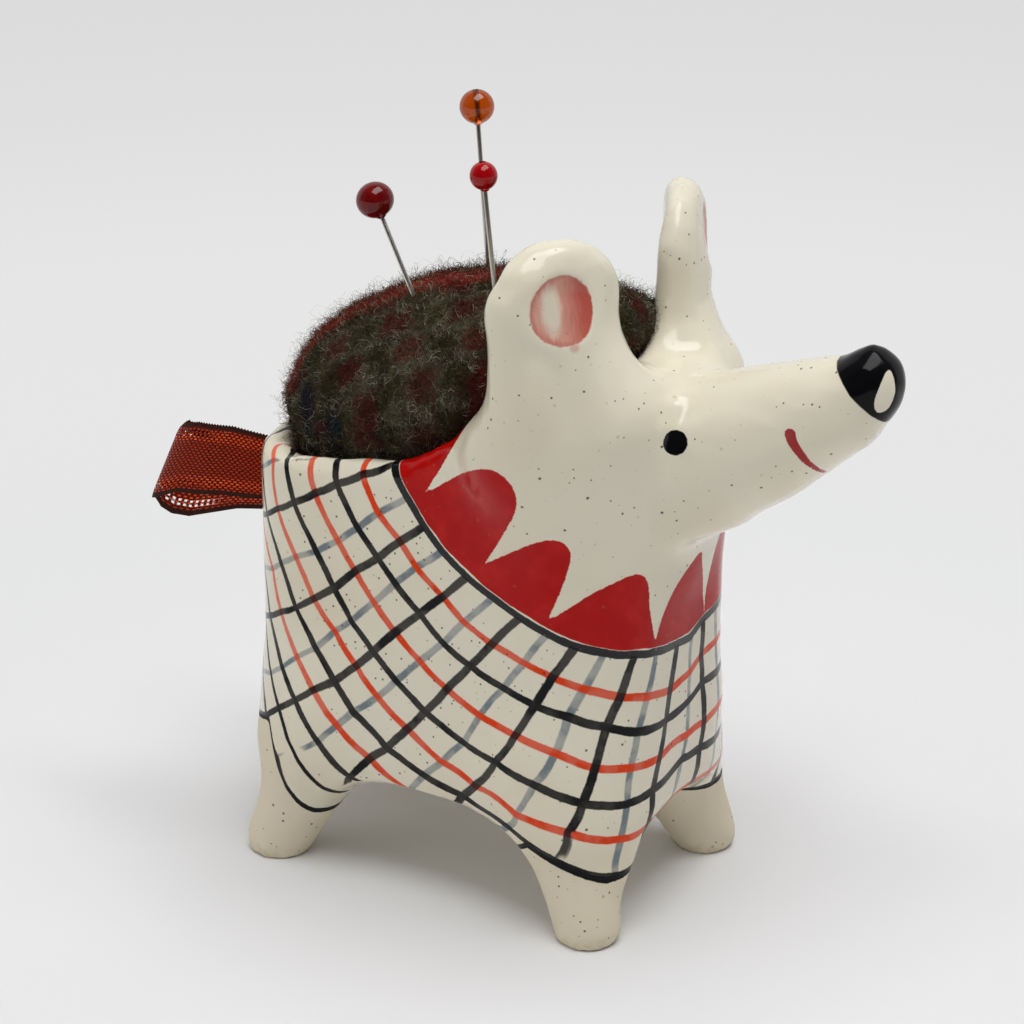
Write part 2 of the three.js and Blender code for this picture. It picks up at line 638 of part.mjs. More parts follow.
// The loop of ribbon behind the rump. Its plan is a band that runs out on one side, round the bend
// and back on the other. It is pinched where it leaves the slot and fans out downwards, and the
// lower end of the bend lies further out than the upper one.
function ribbonLoop() {
  const layer = RIBBON_THICKNESS;
  const middleLine = new THREE.CatmullRomCurve3([
    new THREE.Vector3(0, -0.55 * layer, 0),
    new THREE.Vector3(-0.25 * RIBBON_REACH, -0.6 * RIBBON_BULGE, 0),
    new THREE.Vector3(-0.65 * RIBBON_REACH, -RIBBON_BULGE, 0),
    new THREE.Vector3(-0.93 * RIBBON_REACH, -0.7 * RIBBON_BULGE, 0),
    new THREE.Vector3(-RIBBON_REACH, 0, 0),
    new THREE.Vector3(-0.93 * RIBBON_REACH, 0.7 * RIBBON_BULGE, 0),
    new THREE.Vector3(-0.65 * RIBBON_REACH, RIBBON_BULGE, 0),
    new THREE.Vector3(-0.25 * RIBBON_REACH, 0.6 * RIBBON_BULGE, 0),
    new THREE.Vector3(0, 0.55 * layer, 0),
  ]);
  const outer = [];
  const inner = [];
  for (let n = 0; n <= 32; n++) {
    const point = middleLine.getPointAt(n / 32);
    const along = middleLine.getTangentAt(n / 32);
    const aside = new THREE.Vector2(along.y, -along.x).multiplyScalar(layer / 2);
    outer.push(new THREE.Vector2(point.x + aside.x, point.y + aside.y));
    inner.push(new THREE.Vector2(point.x - aside.x, point.y - aside.y));
  }
  const band = new THREE.Shape([...outer, ...inner.reverse()]);
  const loop = new THREE.ExtrudeGeometry(band, { depth: 1, steps: 2, bevelEnabled: false });
  const place = loop.attributes.position;
  for (let n = 0; n < place.count; n++) {
    const out = -place.getX(n) / RIBBON_REACH;
    const width = lerp(RIBBON_ROOT_WIDTH, RIBBON_WIDTH, clamp(out, 0, 1));
    const drop = (1 - place.getZ(n)) * width;
    place.setX(n, place.getX(n) + out * (RIBBON_WIDTH / 2 - drop) * Math.tan(RIBBON_SLANT));
    place.setZ(n, -drop);
  }
  loop.computeVertexNormals();
  return loop;
}

const stoneware = new THREE.MeshStandardMaterial({ color: 0xded5be, roughness: 0.25, metalness: 0 });
const fulledWool = new THREE.MeshStandardMaterial({ color: 0x4a423c, roughness: 0.95, metalness: 0 });
const woolWaste = new THREE.MeshStandardMaterial({ color: 0xd9d2c3, roughness: 0.95, metalness: 0 });
const cottonThread = new THREE.MeshStandardMaterial({ color: 0x2e2b29, roughness: 0.8, metalness: 0 });
const clearGlue = new THREE.MeshStandardMaterial({ color: 0xd8d0b8, roughness: 0.4, metalness: 0 });
const wovenRibbon = new THREE.MeshStandardMaterial({ color: 0x96301c, roughness: 0.45, metalness: 0 });
const pinSteel = new THREE.MeshStandardMaterial({ color: 0xc2c5c8, roughness: 0.25, metalness: 1 });

const pincushion = new THREE.Group();

function add(name, shape, material, parent = pincushion) {
  const mesh = new THREE.Mesh(shape.isBufferGeometry ? shape : geometryFrom(shape), material);
  mesh.name = name;
  parent.add(mesh);
}

add("ceramic_body", ceramicBody(), stoneware);

const channels = PINS.map(pinChannel);
add("cushion_cover", cushionCover(channels), fulledWool);
add("cushion_filling", cushionFilling(channels), woolWaste);
add("gathering_thread", gatheringThread(), cottonThread);
add("cushion_glue", cushionGlue(), clearGlue);

add("ribbon_root", ribbonRoot(), wovenRibbon);
add("ribbon_glue", ribbonGlue(), clearGlue);
const tail = new THREE.Group();
tail.position.set(RIBBON_HINGE_X, 0, RIBBON_TOP_HEIGHT);
pincushion.add(tail);
add("ribbon_loop", ribbonLoop(), wovenRibbon, tail);

for (const pin of PINS) {
  const stand = new THREE.Group();
  stand.applyMatrix4(pinMatrix(pin));
  pincushion.add(stand);
  const glass = new THREE.MeshStandardMaterial({ color: pin.color, roughness: 0.08, metalness: 0 });
  add(`${pin.name}_head`, pinBead(pin).rotateX(Math.PI / 2), glass, stand);
  add(`${pin.name}_shaft`, pinShaft(pin).rotateX(Math.PI / 2), pinSteel, stand);
}

// The origin is the middle of the foot of the whole object.
const extent = new THREE.Box3().setFromObject(pincushion, true);
const middle = extent.getCenter(new THREE.Vector3());
pincushion.position.set(-middle.x, -middle.y, -extent.min.z);

export default pincushion;
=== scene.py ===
import math

import bmesh
import bpy
import numpy as np
from mathutils import Matrix, Vector
from mathutils.bvhtree import BVHTree


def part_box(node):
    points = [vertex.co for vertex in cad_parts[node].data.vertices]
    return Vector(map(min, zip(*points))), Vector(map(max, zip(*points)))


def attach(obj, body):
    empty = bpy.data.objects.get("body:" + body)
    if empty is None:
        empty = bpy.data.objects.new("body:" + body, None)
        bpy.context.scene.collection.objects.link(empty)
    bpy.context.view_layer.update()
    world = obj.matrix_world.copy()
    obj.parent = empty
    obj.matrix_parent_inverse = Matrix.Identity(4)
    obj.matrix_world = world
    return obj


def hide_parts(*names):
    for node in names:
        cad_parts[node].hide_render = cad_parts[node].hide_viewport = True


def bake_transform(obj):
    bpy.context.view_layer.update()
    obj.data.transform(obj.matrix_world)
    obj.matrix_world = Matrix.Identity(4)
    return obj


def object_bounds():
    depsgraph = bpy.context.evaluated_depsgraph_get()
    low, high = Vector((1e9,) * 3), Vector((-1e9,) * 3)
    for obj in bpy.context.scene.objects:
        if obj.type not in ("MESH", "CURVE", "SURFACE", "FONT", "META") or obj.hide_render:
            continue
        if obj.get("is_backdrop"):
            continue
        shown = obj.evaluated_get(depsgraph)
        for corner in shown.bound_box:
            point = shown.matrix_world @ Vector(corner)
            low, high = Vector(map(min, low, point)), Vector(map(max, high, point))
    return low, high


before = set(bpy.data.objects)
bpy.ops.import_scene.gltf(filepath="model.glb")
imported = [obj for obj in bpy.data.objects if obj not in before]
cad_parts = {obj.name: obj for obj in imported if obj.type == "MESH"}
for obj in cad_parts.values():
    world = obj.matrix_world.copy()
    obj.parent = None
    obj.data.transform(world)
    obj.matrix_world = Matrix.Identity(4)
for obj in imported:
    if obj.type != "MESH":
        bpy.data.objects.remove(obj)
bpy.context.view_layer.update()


# Ceramic body. One piece of pale speckled stoneware, built by hand with its legs, snout and ears
# worked out of the same clay, and sponged smooth before it was fired. The three holders of the other
# pieces are its well, its slot for the tail and the lip that grips the cushion.
CLAY_GRAIN = 0.00055
SPONGE_PASSES = 60
SPONGE_STROKES = [0.5, -0.52]
EAR_DISH_PLACE = Vector((0.0205, 0.0184, 0.0876))
EAR_DISH_TURN = math.radians(30)
EAR_DISH_RADIUS = 0.0046
EAR_DISH_DEPTH = 0.0007
EAR_FACE_SPREAD = 1.8
EAR_FACE_DEPTH = 0.0028
FAR_OFF = 99.0
# Where the hand strayed from the plan, in mm: how far the top of the snout sank and its underside was
# pushed up along it, how much thinner the left ear is at each height, and how it leans. A pair of
# numbers says where along an axis a change sets in and where it is complete.
SNOUT_AXIS = [(26, 61.5), (30, 63.7), (36, 66.2), (44, 70.6), (50, 74.2), (54, 76.5), (59, 78.8)]
SNOUT_HALF_HEIGHT = [(26, 12.0), (30, 11.7), (36, 11.4), (44, 10.0), (50, 8.4), (54, 7.1), (59, 3.0)]
SNOUT_SINK = [(31, 0.0), (34, 0.3), (38, 0.5), (50, 1.1), (52, 0.5), (54, 0.0), (57, -0.2), (60, 0.0)]
SNOUT_PUSH = [(26, 0.0), (31, 0.9), (44, 1.0), (52, 1.0), (56, 0.6), (59, 0.0)]
SNOUT_FROM = (46, 52)
NOSE_SHORTER = 0.3
NOSE_FORWARD, NOSE_FROM = (52, 57), (60, 66)
LEFT_EAR_FRONT_THINNER = [(68, 0.0), (72, 0.08), (76, 0.24), (81, 0.28), (85, 0.12), (96, 0.05)]
LEFT_EAR_BACK_THINNER = [(62, 0.0), (66, 0.45), (71, 0.58), (75, 0.42), (81, 0.34), (85, 0.3), (96, 0.28)]
LEFT_EAR_PLACE = np.array([17.85, 16.7, 0.0])
LEFT_EAR_TURN = math.radians(-5)
LEFT_EAR_LEAN = np.array([0.26, 0.0, -0.5])
LEFT_EAR_SIDE, LEFT_EAR_FROM, LEFT_EAR_HALF, LEFT_EAR_FADE = (6, 12), (73, 85), 10, (15, 10)
# Thumb pushes: where, how far and over what reach.
PUSHES = [
    ((8.5, -20.0, 74.0), (0.7, 0.0, 0.0), 9.0), ((23.5, -8.8, 85.0), (-0.6, -0.37, 0.0), 8.0),
    ((27.0, -12.0, 10.5), (1.1, 0.68, 0.0), 7.0), ((28.5, 12.5, 17.0), (-0.7, -0.42, 0.0), 10.0),
]
RIM_RISE, RIM_FROM, RIM_BEHIND = 0.5, (54, 59), (0, -8)
FOOT_FLAT = 0.2


def copy_of(node, name):
    """A new object with a merged copy of a CAD node's mesh."""
    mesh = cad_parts[node].data.copy()
    mesh.name = name
    mesh.materials.clear()
    shell = bmesh.new()
    shell.from_mesh(mesh)
    bmesh.ops.remove_doubles(shell, verts=shell.verts, dist=1e-6)
    shell.to_mesh(mesh)
    shell.free()
    piece = bpy.data.objects.new(name, mesh)
    bpy.context.scene.collection.objects.link(piece)
    return piece


def settle(piece):
    """Applies a piece's modifiers."""
    bpy.context.view_layer.update()
    seen = piece.evaluated_get(bpy.context.evaluated_depsgraph_get())
    made = bpy.data.meshes.new_from_object(seen)
    piece.modifiers.clear()
    piece.data = made
    made.name = piece.name


def grain(piece, size):
    """Remeshes a piece into even quads of this size."""
    skin = piece.modifiers.new("grain", "REMESH")
    skin.mode = "VOXEL"
    skin.voxel_size = size
    skin.use_smooth_shade = True
    settle(piece)


def places_of(mesh):
    place = np.empty(len(mesh.vertices) * 3)
    mesh.vertices.foreach_get("co", place)
    return place.reshape(-1, 3)


def set_places(mesh, place):
    mesh.vertices.foreach_set("co", place.ravel())


def normals_of(mesh):
    out = np.empty(len(mesh.vertices) * 3)
    mesh.vertices.foreach_get("normal", out)
    return out.reshape(-1, 3)


def ends_of(mesh):
    """The two points of each edge, and how many edges each point joins."""
    ends = np.empty(len(mesh.edges) * 2, np.int64)
    mesh.edges.foreach_get("vertices", ends)
    return *ends.reshape(-1, 2).T, np.bincount(ends, minlength=len(mesh.vertices))


def sponge(mesh, passes):
    """Wipes the facets out of a mesh: each pass draws the points in and lets them out again."""
    count = len(mesh.vertices)
    place = places_of(mesh)
    near, far, joined = ends_of(mesh)
    for share in SPONGE_STROKES * passes:
        sums = [
            np.bincount(near, place[far, k], count) + np.bincount(far, place[near, k], count)
            for k in range(3)
        ]
        place += share * (np.stack(sums, axis=1) / joined[:, None] - place)
    return place


def smooth(values, low, high):
    """0 below low, 1 above high and smooth between them."""
    share = np.clip((values - low) / (high - low), 0, 1)
    return share * share * (3 - 2 * share)


def read(table, at):
    """Reads a table of places and values at some places."""
    return np.interp(at, *np.array(table).T)


def guide(mesh, name, values):
    """Keeps a value for each point of a mesh, which the finish reads."""
    mesh.attributes.new(name, "FLOAT", "POINT").data.foreach_set("value", values.astype(np.float32))


glazed_body = copy_of("ceramic_body", "glazed_body")
grain(glazed_body, CLAY_GRAIN)
clay = sponge(glazed_body.data, SPONGE_PASSES)
dish_across = np.zeros(len(clay))
dish_up = np.zeros(len(clay))
dish_reach = np.full(len(clay), FAR_OFF)
for side in (-1, 1):
    facing = np.array([math.cos(EAR_DISH_TURN), side * math.sin(EAR_DISH_TURN), 0])
    across_ear = np.array([math.sin(EAR_DISH_TURN), -side * math.cos(EAR_DISH_TURN), 0])
    off = clay - np.array(EAR_DISH_PLACE) * [1, side, 1]
    depth = off @ facing
    reach = np.linalg.norm(off - depth[:, None] * facing, axis=1) / EAR_DISH_RADIUS
    on_face = (reach < EAR_FACE_SPREAD) & (abs(depth) < EAR_FACE_DEPTH)
    dish_across[on_face] = off[on_face] @ across_ear * 1000
    dish_up[on_face] = off[on_face, 2] * 1000
    dish_reach[on_face] = reach[on_face] * EAR_DISH_RADIUS * 1000
    clay -= EAR_DISH_DEPTH * np.where(on_face, np.clip(1 - reach**4, 0, 1), 0)[:, None] * facing
clay *= 1000
x, y, z = clay.T
above = (z - read(SNOUT_AXIS, x)) / read(SNOUT_HALF_HEIGHT, x)
sink = read(SNOUT_SINK, x) * np.clip(above, 0, 1)
push = read(SNOUT_PUSH, x) * np.clip(-above, 0, 1) * smooth(z, *SNOUT_FROM)
clay[:, 0] -= NOSE_SHORTER * smooth(x, *NOSE_FORWARD) * smooth(z, *NOSE_FROM)
clay[:, 2] += push - sink
facing = np.array([math.cos(EAR_DISH_TURN), math.sin(EAR_DISH_TURN), 0])
off = clay - LEFT_EAR_PLACE
depth = off @ facing
thinner = read(LEFT_EAR_FRONT_THINNER, z) * np.clip(depth, 0, LEFT_EAR_HALF)
thinner += read(LEFT_EAR_BACK_THINNER, z) * np.clip(depth, -LEFT_EAR_HALF, 0)
thinner *= smooth(y, *LEFT_EAR_SIDE) * smooth(abs(depth), *LEFT_EAR_FADE)
left_ear = (smooth(z, *LEFT_EAR_FROM) * smooth(y, *LEFT_EAR_SIDE))[:, None]
clay += left_ear * (LEFT_EAR_LEAN + LEFT_EAR_TURN * np.stack([-off[:, 1], off[:, 0], 0 * z], axis=1))
clay -= thinner[:, None] * facing
for place, push, reach in PUSHES:
    clay += smooth(np.linalg.norm(clay - place, axis=1), reach, 0)[:, None] * push
clay[:, 2] += RIM_RISE * smooth(z, *RIM_FROM) * smooth(x, *RIM_BEHIND)
clay[:, 2] = np.where(clay[:, 2] < FOOT_FLAT, 0, clay[:, 2])
clay /= 1000
set_places(glazed_body.data, clay)
glazed_body.data.update()
guide(glazed_body.data, "dish_across", dish_across)
guide(glazed_body.data, "dish_up", dish_up)
guide(glazed_body.data, "dish_reach", dish_reach)

# The camera stands where the photographer's did, and its photograph is this many pixels wide and high.
CAMERA_PLACE = Vector((0.23324, -0.37692, 0.23348))
CAMERA_TARGET = Vector((0.001499, 0.001174, 0.049836))
CAMERA_LENS = 126.56
CAMERA_SENSOR = 36.0
PHOTO_PIXELS = 1024
# A crossline gives its first round and where it crosses that one and the next ones, on the right side,
# which the left mirrors. The other knots give a round, a crossline and a place. What can be seen in the
# photograph is given in its pixels, as read off it, and what can't is given in mm.
CROSSLINES = {
    0: (3, [(315, 457.5), (291, 455), (274, 460)]),
    1: (0, [(394, 463), (363, 474), (337, 484), (315, 493), (294, 503), (278, 509), (267, 514)]),
    2: (0, [
        (405, 499), (378, 513), (358, 528), (338, 541), (316, 551), (296, 557), (281, 563), (273, 569),
    ]),
    3: (0, [
        (422, 528), (400, 541), (378, 558), (355, 571), (334, 588), (314, 599), (296, 608), (281, 612),
        (270, 615),
    ]),
    4: (0, [
        (440, 553), (416, 567), (395, 583), (374, 602), (351, 621), (335, 631), (315, 648), (297, 657),
        (282, 667), (271, 673),
    ]),
    5: (0, [
        (465, 579), (443, 597), (420, 614), (395, 632), (373, 652), (356, 666), (334, 681), (313, 690),
        (295, 700), (279, 708),
    ]),
    6: (0, [
        (491, 600), (464, 622), (443, 643), (420, 661), (396, 681), (378, 697), (353, 712), (337, 725),
        (318, 742), (294, 752), (277, 757),
    ]),
    7: (0, [
        (518, 620), (492, 644), (470, 666), (447, 689), (425, 712), (408, 729), (387, 748), (370, 758),
        (350, 777), (342, 792),
    ]),
    8: (0, [(545, 636), (524, 663), (504, 688), (480, 716), (464, 743), (442, 762), (424, 775)]),
    9: (0, [(574, 649), (552, 677), (535, 706), (515, 735), (495, 762), (475, 786), (463, 796)]),
    10: (0, [(603, 656), (584, 689), (568, 717), (555, 753), (534, 785), (516, 815), (508, 827)]),
    11: (0, [(634, 658), (620, 697), (607, 727), (595, 768), (583, 804), (569, 833), (557, 862)]),
    12: (0, [(656, 655), (647, 697), (638, 732), (631, 768), (627, 804), (621, 839), (615, 876)]),
    13: (0, [(677, 647), (670, 690), (666, 720), (660, 757), (653, 790)]),
    14: (0, [(691, 640), (690, 672), (689, 700), (687, 735), (682, 759)]),
    15: (0, [(703, 622), (701, 655), (702, 682), (704, 722), (700, 747)]),
}
RUMP_KNOTS = [
    (8.0, 0.9, -30.4, -9.5, 49.0), (9.4, 2.1, -30.4, -9.5, 39.5), (11.0, 3.8, -30.4, -9.5, 27.5),
    (10.0, 0.8, -31.0, 0.0, 49.0), (11.4, 2.0, -31.0, 0.0, 39.5), (12.5, 3.7, -31.0, 0.0, 27.5),
]
LOOSE_KNOTS = [
    (1.0, 0.6, (367, 462)), (2.0, 0.35, (338, 460)), (4.0, -0.15, (294, 450)), (5.0, -0.35, (285, 444)),
    (9.0, 5.8, (288, 740)), (9.0, 6.05, (296, 757)), (9.0, 6.4, (313, 780)), (9.0, 6.95, (338, 792)),
    (10.0, 6.3, (285, 785)), (10.0, 6.55, (296, 800)), (10.0, 6.75, (313, 810)), (10.0, 7.0, (336, 806)),
]
LEG_KNOTS = [(7.0, 10.0, 12.2, -19.0, 12.8), (7.0, 11.0, 19.8, -20.0, 7.8), (7.0, 12.0, 26.0, -14.4, 4.0)]
FRONT_CROSSLINE = 14
MIRRORED_CROSSLINES = 10
HEM_BEHIND = [(-31.0, 19.0), (-25.5, 21.0)]
REAR_LEG_HEM = [(269, 718), (274, 750), (285, 785), (296, 800), (313, 810), (336, 806)]
HEM_BELOW = [(-10.0, 7.5), (10.0, 9.0)]
FRONT_LEG_HEM = [(527, 845), (543, 856), (559, 865), (580, 874), (607, 880)]
HEM_IN_FRONT = [(29.0, 9.3)]
LEFT_HEM_RISE, LEFT_HEM_SIDE, LEFT_HEM_FRONT = 1.9, (0, 8), (10, 18)
UNDERSIDE, UNDERSIDE_FADE = 0.72, 9
KNOT_SLACK = 0.02
PITCH_LIMITS = (1.5, 10)
FRONT_FROM = (2, 12)
# The red collar above the first round: the edge of the wedge at the right rim, then petal by petal to
# the left side, whose last two petals and wedge mirror the right. The wedge and the petals that the
# snout hides are angles round the neck and heights, and the petals that can be seen are pixels.
NECK_X = 5.5
COLLAR_WEDGE = [(-135, 25), (-135, 70), (-86, 70), (-96.5, 63.9), (-105.5, 59.0)]
SEEN_PETALS = [
    [(424, 494), (455, 477), (484, 469), (505, 478), (516, 497), (514, 515), (500, 540), (484, 565)],
    [(484, 565), (510, 553), (535, 543), (553, 540), (566, 545), (571, 557), (565, 580), (548, 620)],
    [(548, 620), (585, 598), (610, 585), (637, 574), (648, 583), (650, 610), (655, 642)],
    [(655, 642), (665, 610), (680, 580), (701, 551), (702, 561), (703, 585), (704, 612)],
]
HIDDEN_PETALS = [
    [(11.3, 40.3), (12.5, 46.0), (16.0, 50.4), (21.0, 51.6), (24.5, 50.2), (28.0, 46.5), (32.0, 42.5)],
    [(32.0, 42.5), (32.5, 48.0), (37.0, 52.6), (42.0, 53.5), (45.5, 52.2), (49.5, 49.2), (54.2, 45.9)],
]
PETAL_PITCH = 1.0
LINE_STEP = 0.02
COLLAR_RADIUS = 22
SMILE_HALF_WIDTH, SMILE_TAPER = 0.72, 0.47
SMILE = [(790, 434), (792, 441), (796, 448), (801, 455), (806, 461), (812, 466), (819, 470), (826, 472)]


def spread(knots, values, points):
    """Carries values from knots to points on the smoothest surface through them."""
    count = len(knots)
    flat = np.c_[np.ones(count), knots]
    reach = np.linalg.norm(knots[:, None] - knots[None], axis=2)
    sums = np.block([[reach + KNOT_SLACK * np.eye(count), flat], [flat.T, np.zeros((4, 4))]])
    weight = np.linalg.solve(sums, np.r_[values, np.zeros(4)])
    made = np.c_[np.ones(len(points)), points] @ weight[count:]
    for knot, share in zip(knots, weight):
        made += share * np.linalg.norm(points - knot, axis=1)
    return made


def even_line(knots, pitch):
    """Points at an even pitch along a smooth line through knots."""
    points = []
    for k in range(len(knots) - 1):
        before = knots[max(k - 1, 0)]
        after = knots[min(k + 2, len(knots) - 1)]
        a, b = knots[k], knots[k + 1]
        for t in np.arange(0, 1, LINE_STEP):
            pull = (b - before) * t + (2 * before - 5 * a + 4 * b - after) * t**2
            pull += (3 * a - before - 3 * b + after) * t**3
            points.append(a + pull / 2)
    points = np.array([*points, knots[-1]])
    run = np.r_[0, np.cumsum(np.linalg.norm(np.diff(points, axis=0), axis=1))]
    stops = np.linspace(0, run[-1], round(run[-1] / pitch) + 1)
    return np.stack([np.interp(stops, run, points[:, k]) for k in range(points.shape[1])], axis=1), stops


def outline_depth(edge, points):
    """How deep points lie inside a closed outline, below zero outside it."""
    nearest = np.full(len(points), 1e9)
    inside = np.zeros(len(points), bool)
    for a, b in zip(edge, np.roll(edge, -1, axis=0)):
        along = b - a
        share = np.clip((points - a) @ along / (along @ along), 0, 1)
        nearest = np.minimum(nearest, np.linalg.norm(points - a - share[:, None] * along, axis=1))
        if a[1] != b[1]:
            crossed = (points[:, 1] < a[1]) != (points[:, 1] < b[1])
            at = a[0] + (points[:, 1] - a[1]) / (b[1] - a[1]) * along[0]
            inside ^= crossed & (points[:, 0] < at)
    return np.where(inside, nearest, -nearest)


def pitch_of(mesh, field):
    """How many millimetres one step of a field takes at each point of a mesh."""
    near, far, joined = ends_of(mesh)
    place = places_of(mesh) * 1000
    steep = ((field[near] - field[far]) / np.linalg.norm(place[near] - place[far], axis=1)) ** 2
    steep = np.bincount(near, steep, len(place)) + np.bincount(far, steep, len(place))
    return np.clip(1 / np.sqrt(2 * steep / joined + 1e-9), *PITCH_LIMITS)


def ramp(values, low, high):
    """0 below low, 1 above high and straight between them."""
    return np.clip((values - low) / (high - low), 0, 1)


skin_mm = clay * 1000
clay_skin = BVHTree.FromPolygons(clay.tolist(), [face.vertices for face in glazed_body.data.polygons])
camera_turn = (CAMERA_TARGET - CAMERA_PLACE).to_track_quat("-Z", "Y")


def on_clay(pixels):
    """Where the camera sees the clay at some pixels of its photograph, in mm."""
    places = []
    for across, down in (np.array(pixels) / PHOTO_PIXELS - 0.5) * CAMERA_SENSOR / CAMERA_LENS:
        place, *_ = clay_skin.ray_cast(CAMERA_PLACE, camera_turn @ Vector((across, -down, -1)))
        places.append(place * 1000)
    return np.array(places)


def round_neck(places):
    """How far round the neck some places are, and how high, in mm."""
    return np.c_[np.arctan2(places[:, 1], places[:, 0] - NECK_X) * COLLAR_RADIUS, places[:, 2]]


mirrored = np.array([1, -1, 1])
knots = np.array([
    (first + k, crossline, *place)
    for crossline, (first, pixels) in CROSSLINES.items() for k, place in enumerate(on_clay(pixels))
])
steps, loose = [knot[:2] for knot in LOOSE_KNOTS], on_clay([knot[2] for knot in LOOSE_KNOTS])
right = np.r_[knots[knots[:, 1] < FRONT_CROSSLINE], np.c_[steps, loose], LEG_KNOTS]
front = knots[knots[:, 1] >= FRONT_CROSSLINE]
flank = right[right[:, 1] <= MIRRORED_CROSSLINES]
rump = np.array(RUMP_KNOTS)
rump_sides = rump[rump[:, 3] < 0]
knots = np.r_[right[:, 2:], flank[:, 2:] * mirrored, front[:, 2:]]
across_front = spread(knots, np.r_[right[:, 1], 2 * FRONT_CROSSLINE - flank[:, 1], front[:, 1]], skin_mm)
across_front = FRONT_CROSSLINE - abs(FRONT_CROSSLINE - across_front)
rounds_front = spread(knots, np.r_[right[:, 0], flank[:, 0], front[:, 0]], skin_mm)
knots = np.r_[right[:, 2:], right[:, 2:] * mirrored, rump[:, 2:], rump_sides[:, 2:] * mirrored]
across_rear = spread(knots, np.r_[right[:, 1], right[:, 1], rump[:, 1], rump_sides[:, 1]], skin_mm)
rounds_rear = spread(knots, np.r_[right[:, 0], right[:, 0], rump[:, 0], rump_sides[:, 0]], skin_mm)
forward = ramp(skin_mm[:, 0], *FRONT_FROM)
for name, rear, fore in (("round", rounds_rear, rounds_front), ("across", across_rear, across_front)):
    field = rear + forward * (fore - rear)
    guide(glazed_body.data, name, field)
    guide(glazed_body.data, name + "_pitch", pitch_of(glazed_body.data, field))

rear_leg, front_leg = on_clay(REAR_LEG_HEM)[:, ::2], on_clay(FRONT_LEG_HEM)[:, ::2]
hem_line_mm = np.r_[HEM_BEHIND, rear_leg, HEM_BELOW, front_leg, HEM_IN_FRONT]
hem_height = read(hem_line_mm, skin_mm[:, 0])
hem_height += LEFT_HEM_RISE * ramp(skin_mm[:, 1], *LEFT_HEM_SIDE) * ramp(skin_mm[:, 0], *LEFT_HEM_FRONT)
under = (normals_of(glazed_body.data)[:, 2] + UNDERSIDE) * UNDERSIDE_FADE
guide(glazed_body.data, "coat", np.minimum(skin_mm[:, 2] - hem_height, under))
guide(glazed_body.data, "hem", np.where(under > 0, skin_mm[:, 2] - hem_height, UNDERSIDE_FADE))
to_mm = [math.radians(COLLAR_RADIUS), 1]
wedge = np.array(COLLAR_WEDGE) * to_mm
petals = [round_neck(on_clay(petal)) for petal in SEEN_PETALS]
petals += [np.array(petal) * to_mm for petal in HIDDEN_PETALS]
petals += [petal[::-1] * [-1, 1] for petal in petals[1::-1]]
edge = np.concatenate([
    wedge, *(even_line(petal, PETAL_PITCH)[0][1:] for petal in petals), wedge[-2::-1] * [-1, 1],
])
guide(glazed_body.data, "collar", outline_depth(edge, round_neck(skin_mm)))
folded = abs(skin_mm)
smile_reach = np.full(len(clay), FAR_OFF)
smile_run = np.zeros(len(clay))
mouth = abs(on_clay(SMILE))
for k, (a, b) in enumerate(zip(mouth, mouth[1:])):
    share = np.clip((folded - a) @ (b - a) / ((b - a) @ (b - a)), 0, 1)
    reach = np.linalg.norm(folded - a - share[:, None] * (b - a), axis=1)
    smile_run = np.where(reach < smile_reach, (k + share) / (len(mouth) - 1), smile_run)
    smile_reach = np.minimum(smile_reach, reach)
guide(glazed_body.data, "smile", smile_reach - (SMILE_HALF_WIDTH - SMILE_TAPER * smile_run))


class Wire:
    """A socket of a node tree, so that its sums can be written as sums."""

    def __init__(self, nodes, socket):
        self.nodes = nodes
        self.socket = socket

    def sum(self, operation, *values):
        return self.nodes.node("ShaderNodeMath", {"operation": operation}, dict(enumerate(values)))

    def __add__(self, other):
        return self.sum("ADD", self, other)

    def __sub__(self, other):
        return self.sum("SUBTRACT", self, other)

    def __rsub__(self, other):
        return self.sum("SUBTRACT", other, self)

    def __mul__(self, other):
        return self.sum("MULTIPLY", self, other)

    def __truediv__(self, other):
        return self.sum("DIVIDE", self, other)

    def __mod__(self, other):
        return self.sum("FLOORED_MODULO", self, other)

    def __gt__(self, other):
        return self.sum("GREATER_THAN", self, other)

    def __lt__(self, other):
        return self.sum("LESS_THAN", self, other)

    def __abs__(self):
        return self.sum("ABSOLUTE", self)

    def root(self):
        return self.sum("SQRT", self)

    def floor(self):
        return self.sum("FLOOR", self)

    def most(self, other):
        return self.sum("MAXIMUM", self, other)

    def rise(self, low, high):
        """0 below low, 1 above high and smooth between them. Low may be the larger one."""
        values = {"Value": self, "From Min": low, "From Max": high}
        return self.nodes.node("ShaderNodeMapRange", {"interpolation_type": "SMOOTHSTEP"}, values)

    def within(self, reach, soft):
        """1 inside this reach and 0 outside it, with a soft edge."""
        return self.rise(reach + soft, reach - soft)

    def off_middle(self, repeat=1.0):
        """How far this is from the middle of its repeat."""
        return abs(self % repeat - repeat / 2)

    __radd__ = __add__
    __rmul__ = __mul__


